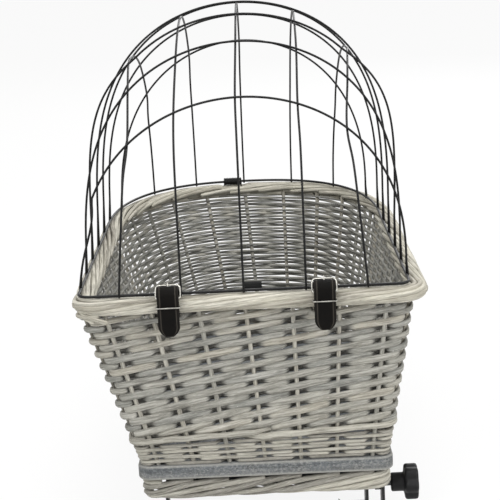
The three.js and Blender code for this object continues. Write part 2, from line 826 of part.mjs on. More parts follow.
// The strap's middle line in the plane across the rim, as pairs of y and height from the ring:
// a folded end round the buckle's heel bar, in under the rim, up behind it, over the lid's front
// wire, through the buckle and down the front to the tip
function strapLine() {
  const fold = FRAME_RADIUS + RUN_GAP + layer;
  const backY = rimFrontY - RUN_GAP - layer;
  const keeperRoom = 2 * KEEPER_RADIUS + 2 * GAP;
  const frontY = backY - 2 * layer - keeperRoom;
  const tailY = frontY - 2 * layer - RUN_GAP;
  const underZ = SIDE_TOP_Z - slotHeight / 2 - RING_Z;
  const insideY = rimInnerY + 2 * RUN_GAP + layer;
  const overZ = RING_RADIUS + RUN_GAP + layer;
  const around = (angle, radius) => {
    const radians = THREE.MathUtils.degToRad(angle);
    return [heelY + radius * Math.cos(radians), -HEEL_DROP + radius * Math.sin(radians)];
  };
  const over = 2 * layer + fold + RUN_GAP + layer;
  const tipEase = 1.7;
  const bend = 4.5;
  return [
    [frontY, -STRAP_FOLD_DROP],
    [frontY, -KEEPER_DROP],
    around(180, fold),
    around(135, fold),
    around(90, fold),
    around(45, fold),
    [backY, -HEEL_DROP - 1.5],
    [backY, -KEEPER_DROP],
    [backY, underZ + bend],
    [backY + 0.6 * bend, underZ + 0.15 * bend],
    [backY + 2 * bend, underZ],
    [rimInnerY - 2 * bend, underZ],
    [insideY - 0.6 * bend, underZ + 0.15 * bend],
    [insideY, underZ + bend],
    [insideY, (underZ + overZ) / 2],
    [insideY, -bend],
    [insideY - bend, overZ - 0.4 * bend],
    [insideY - 2.2 * bend, overZ],
    [0, overZ],
    [heelY / 2, overZ + GAP],
    around(112, over + 2.4),
    around(135, over),
    around(178, over),
    [tailY, -KEEPER_DROP],
    [tailY, -KEEPER_DROP - 2 * bend],
    [tailY + 0.7 * tipEase, -STRAP_TAIL_DROP + STRAP_TIP],
    [tailY + tipEase, -STRAP_TAIL_DROP],
  ];
}

// A band of even thickness along that line
function bandShape(line, perSpan) {
  const points = smoothed(line.map(([y, z]) => new THREE.Vector3(0, y, z)), perSpan);
  const side = (sign) => points.map((point, i) => {
    const before = points[Math.max(i - 1, 0)];
    const after = points[Math.min(i + 1, points.length - 1)];
    const along = after.clone().sub(before).normalize();
    return new THREE.Vector2(point.y - sign * along.z * layer, point.z + sign * along.y * layer);
  });
  return new THREE.Shape(side(1).concat(side(-1).reverse()));
}

// Turns a solid drawn in y and z, and extruded along its third axis, to stand across the x axis
function acrossX(geometry, width) {
  const turn = new THREE.Matrix4().makeBasis(
    new THREE.Vector3(0, 1, 0),
    new THREE.Vector3(0, 0, 1),
    new THREE.Vector3(1, 0, 0),
  );
  return geometry.translate(0, 0, -width / 2).applyMatrix4(turn);
}

function inFrame(geometry) {
  return geometry.rotateX(frameTilt).translate(0, heelY, heelZ);
}

function strap() {
  const shape = bandShape(strapLine(), STRAP_STEPS);
  const band = new THREE.ExtrudeGeometry(shape, { depth: STRAP_WIDTH, bevelEnabled: false });
  const body = acrossX(band, STRAP_WIDTH).translate(0, 0, RING_Z);
  const slot = PRONG_RADIUS + RUN_GAP;
  const eye = FRAME_RADIUS + RUN_GAP + 2 * layer + 0.15;
  const eyeSlot = inFrame(boxBetween([-slot, -eye, -eye], [slot, eye, eye]));
  const shank = FRAME_RADIUS + GAP + PRONG_RADIUS;
  const piercedLow = [-slot, 1, shank - slot];
  const piercedHigh = [slot, FRAME_LENGTH - 4, shank + slot];
  const tip = [];
  [-1, 1].forEach((sign) => {
    const corner = new THREE.Shape();
    const half = STRAP_WIDTH / 2;
    corner.moveTo(sign * (half + 1), -1);
    corner.lineTo(sign * (half + 1), STRAP_TIP);
    corner.lineTo(sign * half, STRAP_TIP);
    corner.quadraticCurveTo(sign * half * 0.86, STRAP_TIP * 0.24, sign * half * 0.2, -1);
    corner.closePath();
    const depth = 12;
    const cutter = new THREE.ExtrudeGeometry(corner, { depth, bevelEnabled: false, curveSegments: 5 });
    const lowest = RING_Z - STRAP_TAIL_DROP;
    tip.push(cutter.rotateX(Math.PI / 2).translate(0, rimFrontY - 1, lowest));
  });
  return cut(body, [eyeSlot, inFrame(boxBetween(piercedLow, piercedHigh)), ...tip]);
}

// The buckle's frame and the keeper are wire loops bent to rounded rectangles
function wireLoop(halfX, lowY, highY, lowCorner, highCorner, radius) {
  const path = [];
  const corners = [
    [halfX - lowCorner, lowY + lowCorner, lowCorner, -90],
    [halfX - highCorner, highY - highCorner, highCorner, 0],
    [-halfX + highCorner, highY - highCorner, highCorner, 90],
    [-halfX + lowCorner, lowY + lowCorner, lowCorner, 180],
  ];
  const arcSteps = 4;
  corners.forEach(([x, y, corner, from]) => {
    for (let i = 0; i <= arcSteps; i += 1) {
      const angle = THREE.MathUtils.degToRad(from + (90 * i) / arcSteps);
      const outward = new THREE.Vector2(Math.cos(angle), Math.sin(angle));
      path.push({ middle: new THREE.Vector2(x, y).addScaledVector(outward, corner), outward });
    }
  });
  const sides = 6;
  const loops = [];
  for (let k = 0; k < sides; k += 1) {
    const angle = (2 * Math.PI * k) / sides;
    loops.push(path.map(({ middle, outward }) => new THREE.Vector3(
      middle.x + outward.x * radius * Math.cos(angle),
      middle.y + outward.y * radius * Math.cos(angle),
      radius * Math.sin(angle),
    )));
  }
  return ringSkin(loops);
}

function buckleFrame() {
  const half = STRAP_WIDTH / 2 + RUN_GAP + FRAME_RADIUS;
  return wireLoop(half, 0, FRAME_LENGTH, FRAME_CORNER / 2, FRAME_CORNER, FRAME_RADIUS);
}

function prong() {
  const reach = FRAME_RADIUS + GAP + PRONG_RADIUS;
  const points = [];
  const arcSteps = 9;
  for (let i = 0; i <= arcSteps; i += 1) {
    const angle = 2 * Math.PI - (1.5 * Math.PI * i) / arcSteps;
    points.push(new THREE.Vector3(0, reach * Math.cos(angle), reach * Math.sin(angle)));
  }
  points.push(new THREE.Vector3(0, FRAME_LENGTH + PRONG_OVERREACH, reach));
  return tube(points, PRONG_RADIUS, 6);
}

function keeper() {
  const line = strapLine();
  const backY = rimFrontY - RUN_GAP - 2 * layer - GAP - KEEPER_RADIUS;
  const tail = line[line.length - 4];
  const frontY = tail[0] - layer - RUN_GAP - KEEPER_RADIUS;
  const half = STRAP_WIDTH / 2 + RUN_GAP + KEEPER_RADIUS;
  const corner = 1.5;
  return wireLoop(half, frontY, backY, corner, corner, KEEPER_RADIUS);
}

['left', 'right'].forEach((side, i) => {
  const x = strapCentres[i];
  const fastening = new THREE.Group();
  fastening.position.x = x;
  part.add(fastening);
  place(fastening, `strap_${side}`, strap(), materials.leather);
  place(fastening, `strap_keeper_${side}`, keeper(), materials.nickel).position.z = RING_Z - KEEPER_DROP;
  const buckle = new THREE.Group();
  buckle.position.set(0, heelY, heelZ);
  buckle.rotation.x = frameTilt;
  fastening.add(buckle);
  place(buckle, `buckle_frame_${side}`, buckleFrame(), materials.nickel);
  place(buckle, `buckle_prong_${side}`, prong(), materials.nickel);
});

// Wire dome lid, drawn about its own ring

const lid = new THREE.Group();
lid.position.set(LID_SHIFT, 0, RING_Z);
part.add(lid);

const wireSeat = RING_RADIUS + GAP;
const crossing = 2 * WIRE_RADIUS + GAP;
const FRONT_SWELL = 1.85;
const FRONT_POWER = 0.265;
const REAR_SWELL = 2;
const REAR_POWER = 0.6;

function domeHeight(y) {
  if (y < DOME_CREST_Y) {
    const reach = (DOME_CREST_Y - y) / DOME_CREST_Y;
    return DOME_HEIGHT * (1 - reach ** FRONT_SWELL) ** FRONT_POWER;
  }
  const reach = (y - DOME_CREST_Y) / (RING_LENGTH - DOME_CREST_Y);
  return DOME_HEIGHT * (1 - reach ** REAR_SWELL) ** REAR_POWER;
}

const hoops = [];
for (let i = 0; i < HOOP_COUNT; i += 1) {
  const y = HOOP_FIRST_Y + HOOP_PITCH * i + HOOP_SPREAD * i * i;
  hoops.push({
    y,
    half: halfWidthAt(ringPlan, y),
    height: domeHeight(y) - wireSeat,
    fullness: HOOP_FULLNESS - HOOP_FULLNESS_FALL * (i - (HOOP_COUNT - 1) / 2) ** 2,
  });
}

function outerWireX(y) {
  if (y < DOME_CREST_Y) {
    const lean = (DOME_CREST_Y - y) / (DOME_CREST_Y - HOOP_FIRST_Y);
    return OUTER_WIRE_CREST_X - OUTER_WIRE_LEAN * lean;
  }
  const draw = (y - DOME_CREST_Y) / (RING_LENGTH - DOME_CREST_Y);
  return OUTER_WIRE_CREST_X - OUTER_WIRE_REAR_DRAW * draw;
}

const wireNames = ['far_left', 'left', 'middle', 'right', 'far_right'];
const wireSides = [-2, -1, 0, 1, 2];

function wireX(side, y) {
  return Math.abs(side) === 2 ? Math.sign(side) * outerWireX(y) : side * INNER_WIRE_X;
}

// A point of a hoop by the angle of its full arch, 0 at the right foot and pi at the left; the dome
// leans a little to the right, by most at its top
function riseShare(hoop, angle) {
  return Math.max(Math.sin(angle), 0) ** (2 / hoop.fullness);
}

function hoopPoint(hoop, angle) {
  const rise = riseShare(hoop, angle);
  const x = hoop.half * Math.cos(angle) + DOME_LEAN * rise;
  return new THREE.Vector3(x, hoop.y, wireSeat + hoop.height * rise);
}

function hoopAngle(hoop, x) {
  const rounds = 12;
  let angle = Math.PI / 2;
  for (let i = 0; i < rounds; i += 1) {
    angle = Math.acos((x - DOME_LEAN * riseShare(hoop, angle)) / hoop.half);
  }
  return angle;
}

function hoopRoute(hoop) {
  const crossings = [...wireSides].reverse().map((side) => hoopAngle(hoop, wireX(side, hoop.y)));
  const stops = [0, ...crossings, Math.PI];
  const steps = [6, 3, 2, 2, 3, 6];
  const points = [];
  steps.forEach((count, span) => {
    for (let i = 0; i < count; i += 1) {
      const share = i / count;
      points.push(hoopPoint(hoop, stops[span] + share * (stops[span + 1] - stops[span])));
    }
  });
  points.push(hoopPoint(hoop, Math.PI));
  return points;
}

// Lengthwise wires run from the ring's front, up and over just inside the hoops, to the ring's back
function wireFrontX(side) {
  return Math.abs(side) === 2 ? Math.sign(side) * OUTER_WIRE_FRONT_X : side * INNER_WIRE_X;
}

const LEG_SHARES = [0.28, 0.56, 0.8];
const LEG_LEAN = 3.7;
const BACK_SHARES = [0.4, 0.7, 0.9];
const BACK_SWELL = 1.2;
const BACK_POWER = 0.65;

function lengthwiseRoute(side) {
  const onHoops = hoops.map((hoop) => hoopPoint(hoop, hoopAngle(hoop, wireX(side, hoop.y))));
  const across = hoops.map((hoop) => {
    const angle = hoopAngle(hoop, wireX(side, hoop.y));
    const step = 0.01;
    return hoopPoint(hoop, angle - step).sub(hoopPoint(hoop, angle + step)).normalize();
  });
  const first = onHoops[0];
  const last = onHoops[HOOP_COUNT - 1];
  const frontX = wireFrontX(side);
  const rearX = wireX(side, RING_LENGTH);
  const rearY = rearAt(ringPlan, rearX);
  const front = new THREE.Vector3(frontX, 0, wireSeat);
  const legs = LEG_SHARES.map((share) => new THREE.Vector3(
    frontX + (first.x - frontX) * share,
    first.y * share ** LEG_LEAN,
    wireSeat + (first.z - wireSeat) * share,
  ));
  const backs = BACK_SHARES.map((share) => new THREE.Vector3(
    last.x + (rearX - last.x) * share,
    last.y + (rearY - last.y) * share,
    wireSeat + (last.z - wireSeat) * (1 - share ** BACK_SWELL) ** BACK_POWER,
  ));
  const rear = new THREE.Vector3(rearX, rearY, wireSeat);
  const route = [front, ...legs, ...onHoops, ...backs, rear];
  const inside = route.map((point, i) => {
    const hoop = i - 1 - LEG_SHARES.length;
    if (hoop < 0 || hoop >= HOOP_COUNT) {
      return point;
    }
    const along = route[i + 1].clone().sub(route[i - 1]).normalize();
    const outward = across[hoop].clone().cross(along).normalize();
    return point.clone().addScaledVector(outward, -crossing);
  });
  return smoothed(inside, 2);
}

function lidRing() {
  const section = roundShape(RING_RADIUS, 6).getPoints().map(({ x, y }) => [x, y]);
  return ringSolid(ringPlan, section);
}

place(lid, 'lid_ring', lidRing(), materials.wire);
hoops.forEach((hoop, i) => {
  place(lid, `lid_hoop_${i + 1}`, tube(hoopRoute(hoop), WIRE_RADIUS, 6), materials.wire);
});
wireSides.forEach((side, i) => {
  place(lid, `lid_wire_${wireNames[i]}`, tube(lengthwiseRoute(side), WIRE_RADIUS, 6), materials.wire);
});

// Rack clamps: a steel rail with a fixed hook, a sliding hooked jaw, and a screw with a star knob

const SCREW_SIDES = 12;
const railEndInner = RAIL_END_X - RAIL_THICKNESS;
const knobHubX = RAIL_END_X + KNOB_STANDOFF;

function alongY(shape, width) {
  const body = new THREE.ExtrudeGeometry(shape, { depth: width, bevelEnabled: false, curveSegments: 4 });
  return welded(body.rotateX(Math.PI / 2).translate(0, width / 2, 0));
}

function polygon(points) {
  return new THREE.Shape(points.map(([x, z]) => new THREE.Vector2(x, z)));
}

function rail() {
  const [face, back] = [-JAW_FACE_X, -jawBack];
  const lipEnd = face + JAW_LIP;
  const shape = polygon([
    [back, 0],
    [lipEnd - JAW_THICKNESS, 0],
    [lipEnd, JAW_THICKNESS],
    [lipEnd, JAW_THICKNESS + JAW_TIP_RISE],
    [lipEnd - JAW_THICKNESS, JAW_THICKNESS],
    [face, JAW_THICKNESS],
    [face, CLAMP_DROP],
    [railEndInner, CLAMP_DROP],
    [railEndInner, RAIL_END_LIFT],
    [RAIL_END_X, RAIL_END_LIFT],
    [RAIL_END_X, RAIL_TOP_Z],
    [back, RAIL_TOP_Z],
  ]);
  const screwHole = boreRadius(SCREW_RADIUS + GAP, SCREW_SIDES);
  const boltHole = boreRadius(BOLT_RADIUS + GAP, BOLT_SIDES);
  const past = 1;
  return cut(alongY(shape, RAIL_WIDTH), [
    rodAlongX(screwHole, SCREW_SIDES, railEndInner - past, RAIL_END_X + past, 0, SCREW_Z),
    rodAlongZ(boltHole, BOLT_SIDES, CLAMP_DROP - past, RAIL_TOP_Z + past, -BOLT_X, 0),
    rodAlongZ(boltHole, BOLT_SIDES, CLAMP_DROP - past, RAIL_TOP_Z + past, BOLT_X, 0),
  ]);
}

function jaw() {
  const lipEnd = JAW_FACE_X - JAW_LIP;
  const top = CLAMP_DROP - GAP;
  const shape = polygon([
    [jawBack, 0],
    [jawBack, top],
    [JAW_FACE_X - JAW_FLANGE, top],
    [JAW_FACE_X - JAW_FLANGE, top - JAW_FLANGE_THICKNESS],
    [JAW_FACE_X, top - JAW_FLANGE_THICKNESS],
    [JAW_FACE_X, JAW_THICKNESS],
    [lipEnd + JAW_THICKNESS, JAW_THICKNESS],
    [lipEnd, JAW_THICKNESS + JAW_TIP_RISE],
    [lipEnd, JAW_THICKNESS],
    [lipEnd + JAW_THICKNESS, 0],
  ]);
  const bore = boreRadius(SCREW_RADIUS + GAP, SCREW_SIDES);
  const past = 1;
  const drill = rodAlongX(bore, SCREW_SIDES, JAW_FACE_X - past, jawBack + past, 0, SCREW_Z);
  return cut(alongY(shape, RAIL_WIDTH), [drill]);
}

function lathed(profile, sides) {
  const points = profile.map(([radius, height]) => new THREE.Vector2(radius, height));
  return welded(new THREE.LatheGeometry(points, sides));
}

// The screw turns in the rail's end; its two collars carry the jaw along
function screw() {
  const tip = JAW_FACE_X - GAP - SCREW_COLLAR;
  const outerCollar = jawBack + GAP + SCREW_COLLAR;
  const socketEnd = knobHubX + KNOB_SOCKET - GAP;
  const profile = [
    [0, tip],
    [SCREW_COLLAR_RADIUS, tip],
    [SCREW_COLLAR_RADIUS, JAW_FACE_X - GAP],
    [SCREW_RADIUS, JAW_FACE_X - GAP],
    [SCREW_RADIUS, jawBack + GAP],
    [SCREW_COLLAR_RADIUS, jawBack + GAP],
    [SCREW_COLLAR_RADIUS, outerCollar],
    [SCREW_RADIUS, outerCollar],
    [SCREW_RADIUS, socketEnd],
    [0, socketEnd],
  ];
  return lathed(profile, SCREW_SIDES).rotateZ(-Math.PI / 2);
}

function hexNut(flats, height, boltRadius, boreSides) {
  const corner = flats / 2 / Math.cos(Math.PI / 6);
  const shape = roundShape(corner, 6);
  const bore = roundShape(boreRadius(boltRadius + GAP, boreSides), boreSides);
  shape.holes.push(new THREE.Path(bore.getPoints()));
  return welded(new THREE.ExtrudeGeometry(shape, { depth: height, bevelEnabled: false }));
}

function knob() {
  const shape = new THREE.Shape();
  const steps = KNOB_LOBES * 5;
  for (let i = 0; i < steps; i += 1) {
    const angle = (2 * Math.PI * i) / steps;
    const radius = KNOB_HEAD_RADIUS + KNOB_LOBE * Math.cos(KNOB_LOBES * angle);
    const [x, y] = [radius * Math.cos(angle), radius * Math.sin(angle)];
    if (i === 0) {
      shape.moveTo(x, y);
    } else {
      shape.lineTo(x, y);
    }
  }
  shape.closePath();
  const bevel = 1.2;
  const head = new THREE.ExtrudeGeometry(shape, {
    depth: KNOB_HEAD_LENGTH - 2 * bevel,
    bevelEnabled: true,
    bevelSegments: 1,
    bevelSize: bevel,
    bevelOffset: -bevel,
    bevelThickness: bevel,
  });
  head.translate(0, 0, KNOB_HUB_LENGTH + bevel);
  const into = 2;
  const hub = rodAlongZ(KNOB_HUB_RADIUS, 16, 0, KNOB_HUB_LENGTH + into, 0, 0);
  const socket = boreRadius(SCREW_RADIUS + GAP, SCREW_SIDES);
  const bore = rodAlongZ(socket, SCREW_SIDES, -1, KNOB_SOCKET, 0, 0);
  return cut(join([head, hub]), [bore]).rotateY(Math.PI / 2);
}

function clampBolt() {
  const top = BOARD_TOP_Z + GAP;
  const lowest = CLAMP_DROP - BOLT_TAIL;
  const profile = [
    [0, lowest],
    [BOLT_POINT_RADIUS, lowest],
    [BOLT_RADIUS, lowest + BOLT_POINT],
    [BOLT_RADIUS, top],
    [BOLT_HEAD_RADIUS, top],
    [BOLT_HEAD_RADIUS * 0.8, top + BOLT_HEAD_HEIGHT * 0.7],
    [BOLT_HEAD_RADIUS * 0.4, top + BOLT_HEAD_HEIGHT],
    [0, top + BOLT_HEAD_HEIGHT],
  ];
  return lathed(profile, BOLT_SIDES).rotateX(Math.PI / 2);
}

function spacer() {
  const bore = boreRadius(BOLT_RADIUS + GAP, BOLT_SIDES);
  const [low, high] = [RAIL_TOP_Z + GAP, BOARD_Z - GAP];
  const profile = [[bore, low], [SPACER_RADIUS, low], [SPACER_RADIUS, high], [bore, high], [bore, low]];
  return lathed(profile, BOLT_SIDES).rotateX(Math.PI / 2);
}

['front', 'rear'].forEach((end, i) => {
  const clamp = new THREE.Group();
  clamp.position.y = CLAMP_Y[i];
  part.add(clamp);
  place(clamp, `${end}_clamp_rail`, rail(), materials.steel);
  place(clamp, `${end}_clamp_jaw`, jaw(), materials.steel);
  place(clamp, `${end}_clamp_screw`, screw(), materials.zinc).position.z = SCREW_Z;
  place(clamp, `${end}_clamp_knob`, knob(), materials.plastic).position.set(knobHubX, 0, SCREW_Z);
  const railNut = hexNut(SCREW_NUT_FLATS, SCREW_NUT_HEIGHT, SCREW_RADIUS, SCREW_SIDES);
  railNut.rotateZ(Math.PI / 2).rotateY(Math.PI / 2);
  const nutX = railEndInner - GAP - SCREW_NUT_HEIGHT;
  place(clamp, `${end}_clamp_rail_nut`, railNut, materials.zinc).position.set(nutX, 0, SCREW_Z);
  ['left', 'right'].forEach((side) => {
    const x = side === 'left' ? -BOLT_X : BOLT_X;
    place(clamp, `${end}_clamp_bolt_${side}`, clampBolt(), materials.zinc).position.x = x;
    place(clamp, `${end}_clamp_spacer_${side}`, spacer(), materials.zinc).position.x = x;
    const nut = hexNut(BOLT_NUT_FLATS, BOLT_NUT_HEIGHT, BOLT_RADIUS, BOLT_SIDES);
    const nutZ = CLAMP_DROP - GAP - BOLT_NUT_HEIGHT;
    place(clamp, `${end}_clamp_nut_${side}`, nut, materials.zinc).position.set(x, 0, nutZ);
  });
});

// The finished part stands on its clamps with its origin under the middle of its bounding box
part.updateMatrixWorld(true);
const bounds = new THREE.Box3().setFromObject(part, true);
const middle = bounds.getCenter(new THREE.Vector3());
part.position.set(-middle.x, -middle.y, -bounds.min.z);

export default part;
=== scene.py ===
import random
from collections import namedtuple
from math import acos, copysign, cos, pi, radians, sin, sqrt

import bpy
import numpy as np
from mathutils import Matrix, Vector


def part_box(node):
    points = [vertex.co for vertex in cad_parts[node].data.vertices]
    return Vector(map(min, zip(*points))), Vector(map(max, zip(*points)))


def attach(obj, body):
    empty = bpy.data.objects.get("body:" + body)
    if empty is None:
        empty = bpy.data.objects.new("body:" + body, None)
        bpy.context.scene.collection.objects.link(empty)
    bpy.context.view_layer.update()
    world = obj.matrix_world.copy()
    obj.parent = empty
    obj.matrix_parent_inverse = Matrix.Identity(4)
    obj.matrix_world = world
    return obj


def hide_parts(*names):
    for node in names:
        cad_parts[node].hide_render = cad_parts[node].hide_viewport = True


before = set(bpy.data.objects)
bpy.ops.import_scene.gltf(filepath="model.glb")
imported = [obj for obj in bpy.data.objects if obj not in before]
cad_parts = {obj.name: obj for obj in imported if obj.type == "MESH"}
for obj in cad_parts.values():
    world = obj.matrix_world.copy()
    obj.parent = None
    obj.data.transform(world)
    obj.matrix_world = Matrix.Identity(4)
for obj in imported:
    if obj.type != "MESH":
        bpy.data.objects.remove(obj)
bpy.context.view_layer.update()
rng = random.Random(11)

MM = 0.001
UP = np.array([0.0, 0.0, 1.0])

# Plan outline shared by ring, rim, wall, board and foot
SIDE_TAPER_SHARE = 5 / 167
REAR_SHARE = 228 / 528
SQUARENESS = 2.45

# Gaps where pieces touch and where they run past each other
GAP, RUN_GAP = 0.3, 0.4

# Heights, up from the lowest point of the clamps' hooks
CLAMP_DROP, RAIL_THICKNESS = 35.0, 3.0
RAIL_TOP_Z = CLAMP_DROP + RAIL_THICKNESS
SCREW_Z = CLAMP_DROP - 7.5
FOOT_Z, FOOT_HEIGHT, FOOT_WIDTH = CLAMP_DROP - 3.2, 24.0, 14.0
BOARD_Z, BOARD_THICKNESS = FOOT_Z + FOOT_HEIGHT + GAP, 15.0
BOARD_TOP_Z = BOARD_Z + BOARD_THICKNESS
WALL_Z, WALL_HEIGHT = BOARD_TOP_Z + GAP, 164.8
WALL_TOP_Z = WALL_Z + WALL_HEIGHT
RIM_Z, RIM_HEIGHT = WALL_TOP_Z + GAP, 18.0
RING_Z = RIM_Z + RIM_HEIGHT + 2.3

# How far the lid lies to the right of the board's middle
LID_SHIFT = -14.0

STAKES = 36
STAKE_RADIUS = 2.3
STRAP_CENTRES = (-89.5, 66.5)

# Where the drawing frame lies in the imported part, read off the lid's ring
RING_RADIUS = 1.5
ring_low, ring_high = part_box("lid_ring")
ORIGIN = np.array([
    (ring_low.x + ring_high.x) / 2 / MM - LID_SHIFT,
    ring_low.y / MM + RING_RADIUS,
    0.0,
])


def row(points):
    return (np.asarray(points, float) + ORIGIN) * MM


# Plan outlines


Plan = namedtuple("Plan", "half front rear corner shift", defaults=(0.0,))


def inset(p, by):
    return Plan(p.half - by, p.front + by, p.rear - by, max(p.corner - by / 2, 2), p.shift)


BASE = Plan(132.5, 1, 494, 14)
WALL_FOOT = inset(BASE, 2)
WALL_TOP = Plan(172.5, -1.5, 529.5, 22, -13)
RIM = Plan(170, 1, 527, 20.75, -8.5)
FOOT = inset(BASE, 1.5 + FOOT_WIDTH / 2)
RING = Plan(167, 0, 528, 12)


def rear_start(p):
    """Where the straight sides end and the rounded rear begins."""
    return p.rear - REAR_SHARE * (p.rear - p.front)


def rear_half(p):
    return p.half * (1 - SIDE_TAPER_SHARE)


def half_width(p, y):
    start = rear_start(p)
    if y <= start:
        return p.half + (y - p.front) / (start - p.front) * (rear_half(p) - p.half)
    reach = (y - start) / (p.rear - start)
    return rear_half(p) * (1 - reach**SQUARENESS) ** (1 / SQUARENESS)


def rear_at(p, x):
    start = rear_start(p)
    share = abs(x) / rear_half(p)
    return start + (p.rear - start) * (1 - share**SQUARENESS) ** (1 / SQUARENESS)


# Steps of half an outline, stretch by stretch
FRONT_STEPS, CORNER_STEPS, SIDE_STEPS, REAR_STEPS = 40, 16, 60, 120


def outline(p):
    """Closed plan outline from the middle of the front to the right and round the back."""
    straight = p.half - p.corner
    start = rear_start(p)
    t = np.linspace(0, 1, FRONT_STEPS, endpoint=False)
    front = np.c_[straight * t, np.full_like(t, p.front)]
    a = np.linspace(0, pi / 2, CORNER_STEPS, endpoint=False)
    corner = np.c_[straight + p.corner * np.sin(a), p.front + p.corner * (1 - np.cos(a))]
    y = np.linspace(p.front + p.corner, start, SIDE_STEPS, endpoint=False)
    side = np.c_[[half_width(p, at) for at in y], y]
    b = np.linspace(0, pi / 2, REAR_STEPS)
    power = 2 / SQUARENESS
    rear_x = rear_half(p) * np.clip(np.cos(b), 0, 1) ** power
    rear_x[-1] = 0
    rear = np.c_[rear_x, start + (p.rear - start) * np.sin(b) ** power]
    right = np.vstack([front, corner, side, rear])
    left = right[-2:0:-1] * [-1, 1]
    points = np.vstack([right, left])
    points[:, 0] += p.shift
    return points


def normals(points):
    along = np.roll(points, -1, 0) - np.roll(points, 1, 0)
    along /= np.linalg.norm(along, axis=1, keepdims=True)
    return np.c_[along[:, 1], -along[:, 0]]


def moved_out(points, by):
    return points + normals(points) * by


# The front's stakes to one side of its middle stand evenly, and the next one stands on the corner
FRONT_STAKES, CORNER_STAKE = 3.0, 3.6
HALF_ROUND = STAKES / 2
COUNTED = [0, FRONT_STAKES, FRONT_STAKES + 1, HALF_ROUND]
PLACES = [0, FRONT_STAKES, CORNER_STAKE, HALF_ROUND]


def from_front(u):
    """A place as its way from the front's middle, below 0 to the left."""
    return np.mod(np.asarray(u, float) + HALF_ROUND, STAKES) - HALF_ROUND


def stake_count(u):
    """Stakes passed from the front's middle to the place u."""
    u = from_front(u)
    return np.sign(u) * np.interp(np.abs(u), PLACES, COUNTED)


def stake_place(count):
    """The place of a stake, the other way about."""
    count = from_front(count)
    return copysign(float(np.interp(abs(count), COUNTED, PLACES)), count)


def closed(points):
    return np.vstack([points, points[:1]])


class Loop:
    """A plan loop by a place u that runs from 0 to the number of stakes along it."""

    def __init__(self, points):
        self.points, self.side = closed(points), closed(normals(points))
        steps = np.linalg.norm(np.diff(self.points, axis=0), axis=1)
        self.u = np.r_[0, np.cumsum(steps)] / steps.sum() * STAKES

    def pick(self, values, u):
        u = np.mod(u, STAKES)
        return np.stack([np.interp(u, self.u, values[:, k]) for k in range(values.shape[1])], -1)

    def at(self, u):
        """Points on the loop and outward directions, both flat."""
        side = self.pick(self.side, u)
        return self.pick(self.points, u), side / np.linalg.norm(side, axis=-1, keepdims=True)


# Half the wall's thickness
HALF_WALL = 5.0


class Wall:
    """The wall's middle surface by the place u along its foot and the height z."""

    def __init__(self):
        self.low = Loop(moved_out(outline(WALL_FOOT), -HALF_WALL))
        self.high = closed(moved_out(outline(WALL_TOP), -HALF_WALL))

    def at(self, u, z, out):
        low, side = self.low.at(u)
        high = self.low.pick(self.high, u)
        share = ((z - WALL_Z) / (WALL_TOP_Z - WALL_Z))[:, None]
        flat = low + share * (high - low)
        lean = np.sum((high - low) * side, -1) / (WALL_TOP_Z - WALL_Z)
        outward = np.c_[side, -lean] / np.sqrt(1 + lean**2)[:, None]
        return np.c_[flat, z] + outward * np.asarray(out)[:, None], outward


wall = Wall()


# Mesh building


def unit(v):
    v = np.asarray(v, float)
    return v / np.maximum(np.linalg.norm(v, axis=-1, keepdims=True), 1e-12)


def between(t, low, high, a, b):
    """The value at t on a line from a at low to b at high."""
    return (high - t) / (high - low) * a + (t - low) / (high - low) * b


def spline(points, per_span):
    """Centripetal Catmull-Rom curve through the points."""
    p = np.asarray(points, float)
    p = np.vstack([2 * p[0] - p[1], p, 2 * p[-1] - p[-2]])
    result = []
    for i in range(1, len(p) - 2):
        a, b, c, d = p[i - 1 : i + 3]
        t1, t2, t3 = np.cumsum([np.linalg.norm(step) ** 0.5 for step in (b - a, c - b, d - c)])
        t = np.linspace(t1, t2, per_span, endpoint=False)[:, None]
        a1, a2, a3 = between(t, 0, t1, a, b), between(t, t1, t2, b, c), between(t, t2, t3, c, d)
        b1, b2 = between(t, 0, t2, a1, a2), between(t, t1, t3, a2, a3)
        result.append(between(t, t1, t2, b1, b2))
    return np.vstack(result + [p[-2:-1]])


# A rod's blunt end: reach past the path and size there, as shares of the half size
END_REACH, END_SIZE = 0.45, 0.6

# Length of grain in which each rod has its own place
GRAIN_RANGE = 4000


def add_object(name, data):
    made = bpy.data.objects.new(name, data)
    bpy.context.scene.collection.objects.link(made)
    return made


